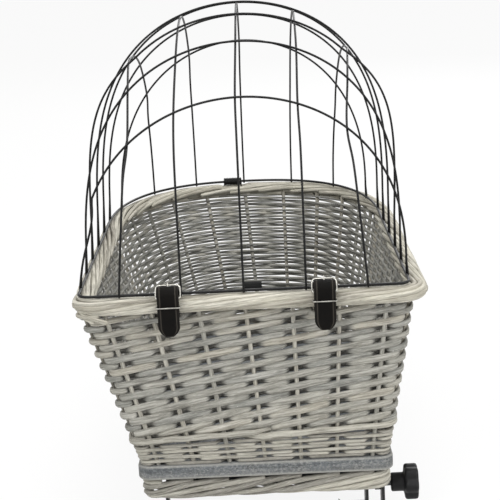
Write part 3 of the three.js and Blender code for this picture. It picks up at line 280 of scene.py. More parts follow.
class Batch:
    """Collects swept or lofted shapes into one mesh, each point with a tint and a place in the grain."""

    def __init__(self):
        self.points, self.faces, self.tints, self.grains = [], [], [], []
        self.total = 0

    def grid(self, rings, tints, grains, loop=False):
        """Rings of equal point count, one after the other, joined into a closed skin."""
        count, sides = rings.shape[:2]
        i = np.arange(count if loop else count - 1)[:, None]
        j = np.arange(sides)[None, :]
        i2, j2 = (i + 1) % count, (j + 1) % sides
        quads = np.stack([i * sides + j, i * sides + j2, i2 * sides + j2, i2 * sides + j], -1)
        faces = quads.reshape(-1, 4).tolist()
        points = rings.reshape(-1, 3)
        tints = np.broadcast_to(np.asarray(tints, float), (count, sides)).reshape(-1)
        grains = grains.reshape(-1, 3)
        if not loop:
            first, last = count * sides, count * sides + 1
            end = (count - 1) * sides
            faces += [(first, (k + 1) % sides, k) for k in range(sides)]
            faces += [(last, end + k, end + (k + 1) % sides) for k in range(sides)]
            points = np.vstack([points, rings[0].mean(0), rings[-1].mean(0)])
            tints = np.r_[tints, tints[0], tints[-1]]
            grains = np.vstack([grains, grains[0], grains[-1]])
        self.points.append(points)
        self.tints.append(tints)
        self.grains.append(grains)
        self.faces += [tuple(k + self.total for k in face) for face in faces]
        self.total += len(points)

    def skin(self, rings, tints=0.5, loop=False):
        """A closed skin whose points are their own places in the grain."""
        rings = np.array(rings)
        self.grid(rings, tints, rings, loop)

    def rod(self, path, outward, wide, deep=None, tint=0.5, sides=8, loop=False):
        """A rod along a path, round or of half sizes wide across and deep along outward."""
        path = np.asarray(path, float)
        count = len(path)
        if loop:
            along = unit(np.roll(path, -1, 0) - np.roll(path, 1, 0))
        else:
            along = unit(np.gradient(path, axis=0))
        outward = np.broadcast_to(np.asarray(outward, float), path.shape)
        deep = wide if deep is None else deep
        wide, deep, tint = (np.broadcast_to(np.asarray(v, float), (count,)) for v in (wide, deep, tint))
        far = np.r_[0, np.cumsum(np.linalg.norm(np.diff(path, axis=0), axis=1))]
        if not loop:
            reach_a, reach_b = END_REACH * wide[0], END_REACH * wide[-1]
            path = np.vstack([path[:1] - along[:1] * reach_a, path, path[-1:] + along[-1:] * reach_b])
            along, outward, tint = (np.concatenate([v[:1], v, v[-1:]]) for v in (along, outward, tint))
            far = np.r_[far[0] - reach_a, far, far[-1] + reach_b]
            wide, deep = (np.r_[v[0] * END_SIZE, v, v[-1] * END_SIZE] for v in (wide, deep))
        second = unit(outward - np.sum(outward * along, -1, keepdims=True) * along)
        first = np.cross(second, along)
        angle = 2 * pi * (np.arange(sides) + 0.5) / sides
        a = wide[:, None] * np.cos(angle)[None, :]
        b = deep[:, None] * np.sin(angle)[None, :]
        rings = path[:, None, :] + a[..., None] * first[:, None, :] + b[..., None] * second[:, None, :]
        place = rng.random() * GRAIN_RANGE
        grains = np.stack([np.broadcast_to(far[:, None] + place, a.shape), a, b], -1)
        self.grid(rings, tint[:, None], grains, loop)

    def make(self, name, material, body, slot, *nodes):
        mesh = bpy.data.meshes.new(name)
        mesh.from_pydata(row(np.vstack(self.points)).tolist(), [], self.faces)
        tint = mesh.attributes.new("tint", "FLOAT", "POINT")
        tint.data.foreach_set("value", np.concatenate(self.tints).astype(np.float32))
        grain = mesh.attributes.new("grain", "FLOAT_VECTOR", "POINT")
        grain.data.foreach_set("vector", np.vstack(self.grains).astype(np.float32).ravel())
        mesh.polygons.foreach_set("use_smooth", np.ones(len(mesh.polygons), bool))
        mesh.materials.append(material)
        mesh.update()
        piece = add_object(name, mesh)
        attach(piece, body)
        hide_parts(*nodes)


# Materials


def srgb(r, g, b):
    def linear(v):
        v /= 255
        return v / 12.92 if v <= 0.04045 else ((v + 0.055) / 1.055) ** 2.4

    return (linear(r), linear(g), linear(b), 1.0)


def add_node(tree, kind, inputs=None, **settings):
    """A new node with its settings, whose inputs are linked or set."""
    made = tree.nodes.new(kind)
    for key, value in settings.items():
        setattr(made, key, value)
    for key, value in (inputs or {}).items():
        if isinstance(value, bpy.types.NodeSocket):
            tree.links.new(value, made.inputs[key])
        else:
            made.inputs[key].default_value = value
    return made


class Shader:
    """A principled material with short calls for the nodes that feed it."""

    def __init__(self, name, metallic=0.0, specular=0.5):
        self.material = bpy.data.materials.new(name)
        self.material.use_nodes = True
        self.tree = self.material.node_tree
        self.bsdf = self.tree.nodes["Principled BSDF"]
        self.bsdf.inputs["Metallic"].default_value = metallic
        self.bsdf.inputs["Specular IOR Level"].default_value = specular

    def node(self, kind, inputs=None, **settings):
        return add_node(self.tree, kind, inputs, **settings)

    def attribute(self, name, output):
        return self.node("ShaderNodeAttribute", attribute_name=name).outputs[output]

    def place(self):
        return self.node("ShaderNodeTexCoord").outputs["Object"]

    def noise(self, vector, scale, detail=4.0, rough=0.55):
        """Noise of one scale, or of a scale along each axis."""
        if isinstance(scale, tuple):
            vector = self.node("ShaderNodeMapping", {"Vector": vector, "Scale": scale}).outputs["Vector"]
            scale = 1.0
        made = self.node("ShaderNodeTexNoise", {
            "Vector": vector, "Scale": scale, "Detail": detail, "Roughness": rough,
        })
        return made.outputs["Fac"]

    def ramp(self, fac, stops):
        made = self.node("ShaderNodeValToRGB", {"Fac": fac})
        elements = made.color_ramp.elements
        while len(elements) < len(stops):
            elements.new(0.5)
        for element, (at, colour) in zip(elements, stops):
            element.position = at
            element.color = colour
        return made.outputs["Color"]

    def span(self, fac, low, high, to_low, to_high):
        made = self.node("ShaderNodeMapRange", {
            "Value": fac, "From Min": low, "From Max": high, "To Min": to_low, "To Max": to_high,
        })
        return made.outputs["Result"]

    def mix(self, fac, a, b, blend="MIX"):
        """Mixes colours, by numbers of sockets, as those of other types have the same names."""
        made = self.node("ShaderNodeMix", {0: fac, 6: a, 7: b}, data_type="RGBA", blend_type=blend)
        return made.outputs[2]

    def math(self, operation, a, b):
        return self.node("ShaderNodeMath", {0: a, 1: b}, operation=operation).outputs[0]

    def finish(self, colour, rough, height, distance, strength):
        bump = self.node("ShaderNodeBump", {"Height": height, "Distance": distance, "Strength": strength})
        self.tree.links.new(colour, self.bsdf.inputs["Base Color"])
        self.tree.links.new(rough, self.bsdf.inputs["Roughness"])
        self.tree.links.new(bump.outputs["Normal"], self.bsdf.inputs["Normal"])
        return self.material


def willow(name, stops, washed, wash_share):
    """Weathered, washed willow: a tone per rod with painted shade at the stakes, streaks along it, worn
    patches, dark specks and white flecks that are painted glints.
    """
    s = Shader(name)
    grain = s.attribute("grain", "Vector")
    # The tint carries each rod's own tone and the painted shade at the stakes, where rods dive behind them
    tone = s.ramp(s.attribute("tint", "Fac"), stops)
    streak = s.noise(grain, (0.035, 0.55, 0.55), 5.0, 0.6)
    fine = s.noise(grain, (0.12, 2.2, 2.2), 3.0, 0.6)
    patch = s.noise(grain, (0.022, 0.09, 0.09), 2.0)
    speck = s.noise(grain, (0.22, 0.5, 0.5), 2.0)
    worn = s.mix(s.span(patch, 0.45, 0.68, 0.0, wash_share), tone, washed)
    dark = s.mix(s.span(streak, 0.36, 0.6, 0.62, 0.0), worn, (0.18, 0.17, 0.15, 1), "MULTIPLY")
    pale = s.mix(s.span(fine, 0.54, 0.76, 0.0, 0.5), dark, srgb(232, 229, 218))
    spotted = s.mix(s.span(speck, 0.69, 0.78, 0.0, 0.55), pale, srgb(92, 84, 74))
    # Pale flecks: small painted glints of near white, spread by the speck noise
    spotted = s.mix(s.span(speck, 0.24, 0.2, 0.0, 0.9), spotted, srgb(248, 247, 243))
    rough = s.span(streak, 0.3, 0.7, 0.9, 0.62)
    height = s.math("ADD", streak, s.math("MULTIPLY", fine, 0.6))
    return s.finish(spotted, rough, height, 0.0005, 0.55)


def grey(v):
    return srgb(v, v, v)


# Tone ramps by tint; the darkest stops of the wall's and the base's ramps are reached mostly by the painted
# shade that rods carry at the stakes
WALL_STOPS = [
    (0.0, srgb(50, 48, 45)), (0.2, srgb(110, 109, 104)), (0.45, srgb(137, 137, 131)),
    (0.68, srgb(155, 153, 144)), (0.88, srgb(172, 167, 154)), (1.0, srgb(190, 183, 167)),
]
CREAM_STOPS = [
    (0.0, srgb(128, 123, 110)), (0.3, srgb(168, 163, 149)), (0.65, srgb(186, 182, 167)),
    (1.0, srgb(204, 200, 187)),
]
GREY_STOPS = [
    (0.0, srgb(52, 50, 46)), (0.2, srgb(106, 103, 97)), (0.45, srgb(142, 139, 130)),
    (0.75, srgb(170, 167, 156)), (1.0, srgb(194, 190, 176)),
]
willow_wall = willow("willow_wall", WALL_STOPS, srgb(190, 188, 181), 0.5)
willow_border = willow("willow_border", CREAM_STOPS, srgb(206, 202, 191), 0.45)
willow_base = willow("willow_base", GREY_STOPS, srgb(176, 173, 164), 0.45)


def board_material():
    s = Shader("washed_board")
    at = s.place()
    grain = s.noise(at, (14, 160, 420), 6.0, 0.62)
    cloud = s.noise(at, 34.0, 4.0)
    fleck = s.noise(at, (300, 420, 420), 3.0, 0.7)
    pit = s.noise(at, (260, 380, 380), 2.0, 0.6)
    sand = s.noise(at, (330, 430, 430), 4.0, 0.75)
    base = s.ramp(s.math("ADD", s.math("MULTIPLY", grain, 0.35), s.math("MULTIPLY", sand, 0.65)), [
        (0.36, srgb(42, 44, 45)), (0.5, srgb(85, 88, 89)), (0.64, srgb(138, 139, 137)),
    ])
    cloudy = s.mix(s.span(cloud, 0.35, 0.65, 0.0, 0.45), base, srgb(84, 90, 97))
    flecked = s.mix(s.span(fleck, 0.55, 0.7, 0.0, 0.7), cloudy, srgb(150, 150, 146))
    pitted = s.mix(s.span(pit, 0.6, 0.72, 0.0, 0.6), flecked, srgb(44, 45, 46))
    edged = s.mix(s.math("MULTIPLY", s.attribute("tint", "Fac"), 0.6), pitted, srgb(166, 164, 157))
    return s.finish(edged, s.span(grain, 0.3, 0.7, 0.85, 0.6), grain, 0.0006, 0.5)


def wire_material():
    s = Shader("black_wire", specular=0.22)
    at = s.place()
    fine = s.noise(at, 900.0, 3.0)
    cloud = s.noise(at, 60.0, 3.0)
    base = s.ramp(cloud, [(0.3, grey(12)), (0.7, grey(24))])
    worn = s.mix(s.span(fine, 0.66, 0.8, 0.0, 0.3), base, srgb(76, 74, 70))
    return s.finish(worn, s.span(fine, 0.3, 0.7, 0.32, 0.52), fine, 0.00008, 0.4)


def leather_material():
    s = Shader("dark_leather", specular=0.09)
    at = s.place()
    cells = s.node("ShaderNodeTexVoronoi", {"Vector": at, "Scale": 1500.0}).outputs["Distance"]
    cloud = s.noise(at, 120.0, 4.0)
    base = s.ramp(cloud, [(0.3, srgb(7, 6, 5)), (0.7, srgb(14, 12, 10))])
    edged = s.mix(s.math("MULTIPLY", s.attribute("tint", "Fac"), 0.7), base, srgb(74, 70, 64))
    return s.finish(edged, s.span(cloud, 0.3, 0.7, 0.5, 0.68), cells, 0.00012, 0.5)


def metal_material(name, low, high, rough_low, rough_high, metallic, spots=0.0):
    s = Shader(name, metallic)
    at = s.place()
    fine = s.noise(at, (1400, 1400, 260), 3.0)
    cloud = s.noise(at, 140.0, 4.0)
    base = s.ramp(cloud, [(0.3, low), (0.7, high)])
    worn = s.mix(s.span(fine, 0.62, 0.78, 0.0, spots), base, srgb(150, 148, 143))
    return s.finish(worn, s.span(cloud, 0.3, 0.7, rough_low, rough_high), fine, 0.00005, 0.3)


def plastic_material():
    s = Shader("moulded_plastic", specular=0.22)
    at = s.place()
    fine = s.noise(at, 1600.0, 2.0)
    cloud = s.noise(at, 90.0, 3.0)
    base = s.ramp(cloud, [(0.3, srgb(15, 15, 16)), (0.7, srgb(26, 26, 27))])
    scuffed = s.mix(s.span(s.noise(at, 320.0, 4.0), 0.62, 0.75, 0.0, 0.25), base, grey(72))
    return s.finish(scuffed, s.span(cloud, 0.3, 0.7, 0.42, 0.6), fine, 0.0001, 0.35)


def webbing_material():
    s = Shader("dark_webbing")
    at = s.place()

    def threads(direction):
        return s.node("ShaderNodeTexWave", {"Vector": at, "Scale": 260.0, "Distortion": 0.6},
                      bands_direction=direction).outputs["Fac"]

    weave = s.math("MULTIPLY", threads("X"), threads("Z"))
    base = s.ramp(weave, [(0.1, grey(20)), (0.9, grey(52))])
    return s.finish(base, s.span(weave, 0.0, 1.0, 0.95, 0.75), weave, 0.0003, 0.8)


board_look = board_material()
wire_look = wire_material()
leather_look = leather_material()
nickel_look = metal_material("nickel", srgb(138, 136, 130), srgb(182, 180, 173), 0.26, 0.42, 1.0)
zinc_look = metal_material("zinc", srgb(96, 97, 99), srgb(128, 129, 130), 0.35, 0.55, 0.9, 0.3)
steel_look = metal_material("black_steel", grey(26), grey(40), 0.4, 0.6, 0.4, 0.4)
plastic_look = plastic_material()
webbing_look = webbing_material()


# Woven body


def wobble(count, size):
    """A slow irregular line of small offsets."""
    knots = [rng.uniform(-size, size) for _ in range(max(count, 2) + 2)]
    return lambda t: np.interp(t, np.linspace(0, 1, len(knots)), knots)


def eased(t):
    t = np.clip(t, 0, 1)
    return t * t * (3 - 2 * t)


def tucked(sway, u, length, depth):
    """A rod's sway with its ends brought in behind the weave, over a length at either end."""
    shown = np.clip(np.minimum(u - u[0], u[-1] - u) / length, 0, 1)
    return sway * shown - depth * (1 - shown)


# The lowest rows' height, their rise to the right on the front, and how fast it fades past the corner
UPSETT_HEIGHT, UPSETT_TILT, TILT_FADE = 25.0, 4.0, 2.5


def front_tilt(u):
    """The front's lowest rows rise to the right; elsewhere they lie level."""
    u = from_front(u)
    past = np.maximum(np.abs(u) - CORNER_STAKE, 0)
    return np.clip(u / CORNER_STAKE, -1, 1) * np.exp(-((past / TILT_FADE) ** 2))


def upsett_top(u):
    return WALL_Z + UPSETT_HEIGHT + UPSETT_TILT * front_tilt(u)


def stakes():
    """Upright rods that go down into the board and up into the rim."""
    batch = Batch()
    foot = [BOARD_Z - 1, BOARD_Z + 7, WALL_Z]
    z = np.r_[foot, np.linspace(WALL_Z + 9, WALL_TOP_Z, 16), WALL_TOP_Z + 7]
    for i in range(STAKES):
        u = np.full_like(z, stake_place(i))
        path, outward = wall.at(u, np.clip(z, WALL_Z, WALL_TOP_Z), np.zeros_like(z))
        path[:, 2] = z
        radius = STAKE_RADIUS * rng.uniform(0.92, 1.1)
        batch.rod(path, outward, radius, tint=rng.uniform(0.6, 1.0))
    return batch


# Where front and back weave meet, in stakes from the front's middle, and what every second row adds
FRONT_EDGE, STAGGER = 5.5, 0.5
# Length in stakes over which a rod's end is tucked in
TUCK_LENGTH = 0.5

# Front weave: heights, rise of a rod from stake to stake, and half sizes of a rod
FRONT_LOW, FRONT_HIGH = WALL_Z + 26, WALL_TOP_Z + 2.6
ROW_RISE = 6.6
FRONT_WIDE, FRONT_DEEP = 4.0, 2.5
# A front rod's way out over a stake, in behind the next and in at its ends
FRONT_SWELL, FRONT_DIVE, FRONT_TUCK = 1.4, 4.8, 3.0
# Where a dive starts and where it starts to end beside its stake, and how long both take, in stakes
DIVE_START, DIVE_END = -0.29, 0.16
DIVE_IN, DIVE_OUT = 0.12, 0.19
# What a rod adds where it goes round the corner's stake
CORNER_SWELL, CORNER_STRETCH = 1.8, 1.7
SHORTEST_ROD = 0.8


def clear_of_straps(path):
    """Lowers what would lie in the straps' slots under the rim."""
    slot_half, front_depth, slot_z = 14, 60, WALL_TOP_Z - 7.2
    for centre in STRAP_CENTRES:
        near = np.abs(path[:, 0] - centre) < slot_half
        front = path[:, 1] < front_depth
        path[:, 2] = np.where(near & front, np.minimum(path[:, 2], slot_z), path[:, 2])


def front_sway(u, j):
    """How far rod j stands out: flat over one stake, then a short sharp dive behind the next."""
    count = stake_count(u)
    nearest = np.round(count)
    off = count - nearest
    over = np.cos(pi * (nearest - j)) > 0
    at_corner = np.abs(nearest) == FRONT_STAKES + 1
    reach = off / np.where(at_corner, CORNER_STRETCH, 1.0)
    dive = eased((reach - DIVE_START) / DIVE_IN) * (1 - eased((reach - DIVE_END) / DIVE_OUT))
    swell = FRONT_SWELL + np.where(at_corner, CORNER_SWELL, 0.0)
    return np.where(over, swell * (1 - (2 * off) ** 2), -FRONT_DIVE * dive)


def front_rods(batch):
    """Thick rods that start one at each stake and climb to the right, over one and under one."""
    spans = (FRONT_HIGH - FRONT_LOW) / ROW_RISE
    for j in range(int(-FRONT_EDGE - spans) - 1, int(FRONT_EDGE) + 2):
        edge = STAGGER * (j % 2)
        start = max(j + 0.1, -FRONT_EDGE - edge)
        end = min(j + spans, FRONT_EDGE + edge)
        if end - start < SHORTEST_ROD:
            continue
        u = np.linspace(start, end, int((end - start) * 26) + 2)
        lift = wobble(int(end - start), 0.5)
        size = rng.uniform(0.88, 1.12)
        thin = 1.0 - 0.22 * np.clip((u - j) / spans, 0, 1)
        base = upsett_top(u) + 1.5
        climb = (FRONT_HIGH - base) / (FRONT_HIGH - FRONT_LOW)
        z = base + ROW_RISE * (u - j) * climb + lift((u - start) / (end - start))
        sway = tucked(front_sway(u, j), u, TUCK_LENGTH, FRONT_TUCK)
        path, outward = wall.at(u, z, sway)
        clear_of_straps(path)
        sunk = np.clip(-sway / FRONT_DIVE, 0, 1)
        # Painted shade: the tint darkens where the rod dives behind a stake
        tint = rng.uniform(0.4, 0.86) * (1 - 0.9 * sunk)
        batch.rod(path, outward, FRONT_WIDE * size * thin, FRONT_DEEP * size * thin, tint)


# Back weave: heights, pitch, lap past the front's edge, sway and half sizes of a rod
BACK_LOW, BACK_HIGH = WALL_Z + 26.6, WALL_TOP_Z + 9.0
BACK_PITCH, BACK_LAP = 3.98, 0.4
BACK_SWAY, BACK_TUCK = 3.3, 2.6
BACK_WIDE, BACK_PINCH, BACK_DEEP = 2.36, 0.66, 1.75


def back_rods(batch):
    """Finer level rows round the sides and the back, each over one stake and under the next."""
    for i in range(int((BACK_HIGH - BACK_LOW) / BACK_PITCH)):
        edge = STAGGER * (i % 2)
        start, end = FRONT_EDGE - BACK_LAP - edge, STAKES - FRONT_EDGE + BACK_LAP + edge
        u = np.linspace(start, end, int((end - start) * 7))
        lift = wobble(int(end - start), 0.5)
        z = BACK_LOW + 0.5 + BACK_PITCH * i + lift((u - start) / (end - start))
        count = stake_count(u)
        sway = tucked(BACK_SWAY * np.cos(pi * (count + i)), u, TUCK_LENGTH, BACK_TUCK)
        path, outward = wall.at(u, z, sway)
        size = rng.uniform(0.9, 1.08)
        near = np.cos(pi * count) ** 2
        # Painted shade: the tint darkens near each stake, where the rows pinch and the gaps between them
        # fall in shade
        tint = (0.34 + 0.46 * rng.random()) * (1 - 0.6 * near)
        batch.rod(path, outward, (BACK_WIDE - BACK_PINCH * near) * size, BACK_DEEP * size, tint, 6)


# Fine rows above the board: number, radius, sway, and half a dive's bottom and each slope in stakes
UPSETT_ROWS, UPSETT_RADIUS, UPSETT_SWAY, UPSETT_DIVE = 7, 1.9, 2.8, 0.15

# Long rods above them: first and last place, and the heights above the wall's foot at both
LONG_RODS = (
    (-4.6, 0.3, 24.6, 33.6), (-0.5, 4.6, 27.1, 37.6), (3.6, 9.0, 26.1, 31.1), (-9.5, -3.9, 25.1, 31.6),
)


def upsett_rows(batch):
    """Fine rows above the board, each over one stake and under the next, and long rods above them."""
    u = np.linspace(0, STAKES, STAKES * 14, endpoint=False)
    count = stake_count(u)
    nearest = np.round(count)
    at_stake = 1 - eased((np.abs(count - nearest) - UPSETT_DIVE) / UPSETT_DIVE)
    for i in range(UPSETT_ROWS):
        sunk = (np.cos(pi * (nearest + i)) < 0) * at_stake
        slow = 0.5 * np.sin(2 * pi * (5 * u / STAKES + 0.37 * i))
        z = WALL_Z + (i + 0.5) / UPSETT_ROWS * (upsett_top(u) - WALL_Z) + slow
        path, outward = wall.at(u, z, UPSETT_SWAY - 2 * UPSETT_SWAY * sunk)
        # Painted shade: the tint darkens where the row dives behind a stake
        tint = rng.uniform(0.25, 0.8) * (1 - 0.85 * sunk)
        batch.rod(path, outward, UPSETT_RADIUS, tint=tint, sides=7, loop=True)
    for start, end, low, high in LONG_RODS:
        u = np.linspace(start, end, 60)
        t = (u - start) / (end - start)
        sway = tucked(4.9 + 0.8 * np.cos(2 * pi * u), t, 0.1, 3)
        path, outward = wall.at(u, WALL_Z + low + (high - low) * t, sway)
        batch.rod(path, outward, 3.6 - 0.8 * t, 2.7, rng.uniform(0.6, 0.9))


def border_rods(batch, loop, centre_z, across, up, span, first, turn, radius, sag):
    """A rolled border: one rod from each stake, wound along and about the ones before it."""
    for i in range(STAKES):
        t = np.linspace(0, 1, int(abs(span) * 9))
        u = i + rng.uniform(-0.12, 0.12) + span * t
        centre, side = loop.at(u)
        angle = np.radians(first + turn * t + wobble(4, 8)(t))
        swell = 1 + wobble(5, 0.08)(t)
        out = across * swell * np.cos(angle)
        z = centre_z + up * swell * np.sin(angle)
        path = np.c_[centre + side * out[:, None], z]
        outward = np.c_[side * np.cos(angle)[:, None], np.sin(angle)]
        size = radius * rng.uniform(0.88, 1.08) * (1.04 - 0.26 * t)
        sag(path, size)
        batch.rod(path, outward, size * 1.02, size * 0.95, rng.uniform(0.15, 1.0))


COIL_X = (-40.0, -18.0)
COIL_MIDDLE = sum(COIL_X) / 2
HINGE_Y = rear_at(RING, COIL_MIDDLE - LID_SHIFT)


def under_coil(path, size):
    """Presses the rim's rods down where the hinge coil sits in them."""
    half = (COIL_X[1] - COIL_X[0]) / 2 + 4
    clear, slope, drop, behind = 5.6, 14, 12, 400
    near = np.clip((half + slope - np.abs(path[:, 0] - COIL_MIDDLE)) / slope, 0, 1) * (path[:, 1] > behind)
    ceiling = RING_Z - clear - size
    path[:, 2] = np.minimum(path[:, 2], ceiling + (1 - near) * drop)


CLAMP_Y = {"front": 38.0, "rear": 340.0}


def over_rails(path, size):
    """Lifts the foot's rods over the clamp rails where these come out on the right."""
    reach, slope, drop = 26, 12, 14
    for y in CLAMP_Y.values():
        near = np.clip((reach - np.abs(path[:, 1] - y)) / slope, 0, 1) * (path[:, 0] > 0)
        floor = RAIL_TOP_Z + RUN_GAP + size
        path[:, 2] = np.where(near > 0, np.maximum(path[:, 2], floor - (1 - near) * drop), path[:, 2])


def rim_core(batch, loop, centre_z):
    """The rim's inner rods, hidden but for the gaps between the outer ones."""
    rods, turns, across, up, radius, sunk = 3, 5, 4.2, 2.2, 3.4, 5.0
    u = np.linspace(0, STAKES, 360, endpoint=False)
    centre, side = loop.at(u)
    for k in range(rods):
        angle = 2 * pi * (k / rods + turns * u / STAKES)
        path = np.c_[centre + side * (across * np.cos(angle))[:, None], centre_z + up * np.sin(angle)]
        under_coil(path, sunk)
        batch.rod(path, UP, radius, tint=rng.uniform(0, 0.3), sides=7, loop=True)


def corner_ends(batch, loop):
    """Rod ends that come down loosely from the border at the left front corner."""
    ends, corner = 7, -3.95
    t = np.linspace(0, 1, 12)
    for _ in range(ends):
        start = corner + rng.uniform(-0.5, 0.5)
        u = start + copysign(rng.uniform(0.45, 0.8), rng.uniform(-1, 1)) * t
        centre, side = loop.at(u)
        out = rng.uniform(3.0, 6.0) + rng.uniform(0.0, 2.5) * t
        z = RIM_Z + rng.uniform(1.0, 5.0) - rng.uniform(5.0, 10.0) * t
        path = np.c_[centre + side * out[:, None], z]
        batch.rod(path, np.c_[side, np.zeros_like(t)], 2.4, 2.2, rng.uniform(0.2, 0.8))


woven = stakes()
front_rods(woven)
back_rods(woven)
STRETCHES = ("front", "right", "rear_right", "back_right", "back_left", "rear_left", "left")
woven.make("woven_wall", willow_wall, "basket", "willow", *(f"side_weave_{n}" for n in STRETCHES))

upsett = Batch()
upsett_rows(upsett)
upsett.make("upsett_rows", willow_base, "basket", "willow", "upsett_band")

rim_loop = Loop(outline(RIM))
rim = Batch()
rim_middle = RIM_Z + RIM_HEIGHT / 2
border_rods(rim, rim_loop, rim_middle, across=8.9, up=6.2, span=8.6, first=-110, turn=300,
            radius=2.85, sag=under_coil)
rim_core(rim, rim_loop, rim_middle)
corner_ends(rim, rim_loop)
rim.make("rim_rods", willow_border, "basket", "border", "rim_border")

foot_loop = Loop(outline(FOOT))
foot = Batch()
foot_middle = FOOT_Z + FOOT_HEIGHT / 2
border_rods(foot, foot_loop, foot_middle, across=3.4, up=8.6, span=-5.6, first=80, turn=-275,
            radius=3.25, sag=over_rails)
foot.make("foot_rods", willow_base, "basket", "border", "foot_border")


def board():
    """The base board, with worn rounded edges and a smaller ring that closes each face."""
    batch = Batch()
    edge = outline(BASE)
    inner = edge * 0.5 + [0, 123]
    worn = 1.6
    low, high = BOARD_Z, BOARD_TOP_Z

    def bend(face, inward, degrees, tint):
        a = radians(degrees)
        return -worn * (1 - sin(a)), face + inward * worn * (1 - cos(a)), tint

    section = [(None, low, 0), (-8, low, 0.1), (-worn, low, 0.6), bend(low, 1, 30, 1), bend(low, 1, 60, 1)]
    section += [(0, low + worn, 1), (0, low + 3.2, 0.25), (0, high - 3.0, 0), (0, high - worn, 0.5)]
    section += [bend(high, -1, 60, 0.8), bend(high, -1, 30, 0.8)]
    section += [(-worn, high, 0.5), (-8, high, 0.0), (None, high, 0)]
    rings = []
    for offset, z, _ in section:
        flat = inner if offset is None else moved_out(edge, offset)
        rings.append(np.c_[flat, np.full(len(flat), z)])
    batch.skin(rings, [[tint] for _, _, tint in section])
    return batch


board().make("board", board_look, "basket", "board", "base_board")


# Lid

WIRE_RADIUS = 1.2
WIRE_SEAT = 1.8
CROSSING = 2.7
DOME_HEIGHT, CREST_Y = 267.0, 205.0
DOME_LEAN = 5.5
# Exponents of the dome's side view before and behind its crest
FRONT_CURVE, REAR_CURVE = (1.85, 0.265), (2, 0.6)

# The hoops: the first one's place, the steps to the next ones, and how square they are
HOOPS = 7
FIRST_HOOP_Y, HOOP_STEP, STEP_GROWTH = 33, 55.5, 1.02
HOOP_SQUARENESS, SQUARENESS_LOSS = 3.45, 0.11
MIDDLE_HOOP = HOOPS // 2

# Hoops bent out of true near their feet: to the left, to the right and up to which angle
TRUE_HOOP = (0.0, 0.0, 45.0)
BULGES = {0: (-7.0, 0.0, 24.0), 2: (6.0, 8.6, 48.0)}

# Lengthwise wires: pitch, the far ones' place at the crest and at the front foot, how far these draw in
# towards the first hoop and the rear, and the sway of all
WIRE_PITCH = 62.7
FAR_WIRE_X, FAR_FOOT_X = 121, 125
FRONT_DRAW, REAR_DRAW = 9, 5
WIRE_SWAY = 4


def dome_height(y):
    if y < CREST_Y:
        reach = (CREST_Y - y) / CREST_Y
        power, root = FRONT_CURVE
    else:
        reach = (y - CREST_Y) / (RING.rear - CREST_Y)
        power, root = REAR_CURVE
    return DOME_HEIGHT * (1 - reach**power) ** root


Hoop = namedtuple("Hoop", "y half height power bulge")
hoops = []
for i in range(HOOPS):
    hoop_y = FIRST_HOOP_Y + HOOP_STEP * i + STEP_GROWTH * i * i
    rise = dome_height(hoop_y) - WIRE_SEAT
    hoop_power = 2 / (HOOP_SQUARENESS - SQUARENESS_LOSS * (i - MIDDLE_HOOP) ** 2)
    hoops.append(Hoop(hoop_y, half_width(RING, hoop_y), rise, hoop_power, BULGES.get(i, TRUE_HOOP)))


def rise_share(hoop, angle):
    return max(sin(angle), 0.0) ** hoop.power


def hoop_shift(hoop, angle):
    left, right, reach = hoop.bulge
    from_foot = min(angle, pi - angle) / radians(reach)
    bulge = sin(pi * min(max(from_foot, 0.0), 1.0) ** 1.4)
    return DOME_LEAN * rise_share(hoop, angle) + (right if angle < pi / 2 else -left) * bulge


def hoop_point(hoop, angle):
    x = hoop.half * cos(angle) + hoop_shift(hoop, angle)
    return np.array([x, hoop.y, WIRE_SEAT + hoop.height * rise_share(hoop, angle)])


def hoop_angle(hoop, x):
    angle = pi / 2
    for _ in range(30):
        angle = acos((x - hoop_shift(hoop, angle)) / hoop.half)
    return angle


def wire_x(side, y):
    """Where a lengthwise wire is at y; side runs from -2, the far left one, to 2."""
    along = (y - FIRST_HOOP_Y) / (RING.rear - FIRST_HOOP_Y)
    sway = WIRE_SWAY * sqrt(max(sin(pi * along), 0.0))
    if abs(side) < 2:
        return side * WIRE_PITCH + sway
    if y < CREST_Y:
        drawn_in = FRONT_DRAW * (CREST_Y - y) / (CREST_Y - FIRST_HOOP_Y)
    else:
        drawn_in = REAR_DRAW * (y - CREST_Y) / (RING.rear - CREST_Y)
    return copysign(FAR_WIRE_X - drawn_in, side) + sway


def lengthwise(side):
    """The route of a lengthwise wire, which crosses under each hoop."""
    on_hoops, across = [], []
    for hoop in hoops:
        angle = hoop_angle(hoop, wire_x(side, hoop.y))
        on_hoops.append(hoop_point(hoop, angle))
        across.append(unit(hoop_point(hoop, angle - 0.01) - hoop_point(hoop, angle + 0.01)))
    first, last = on_hoops[0], on_hoops[-1]
    front_x = copysign(FAR_FOOT_X, side) if abs(side) == 2 else side * WIRE_PITCH
    rear_x = wire_x(side, RING.rear)
    rear_y = rear_at(RING, rear_x)
    legs = [
        [front_x + (first[0] - front_x) * s, first[1] * s**3.7, WIRE_SEAT + (first[2] - WIRE_SEAT) * s]
        for s in (0.28, 0.56, 0.8)
    ]
    backs = [
        [last[0] + (rear_x - last[0]) * s, last[1] + (rear_y - last[1]) * s,
         WIRE_SEAT + (last[2] - WIRE_SEAT) * (1 - s**1.2) ** 0.65]
        for s in (0.4, 0.7, 0.9)
    ]
    route = np.array([[front_x, 0, WIRE_SEAT], *legs, *on_hoops, *backs, [rear_x, rear_y, WIRE_SEAT]])
    inner = route.copy()
    for k in range(HOOPS):
        i = 1 + len(legs) + k
        along = unit(route[i + 1] - route[i - 1])
        inner[i] = route[i] - CROSSING * unit(np.cross(across[k], along))
    return spline(inner, 8)


def in_lid(points):
    return np.asarray(points, float) + [LID_SHIFT, 0, RING_Z]


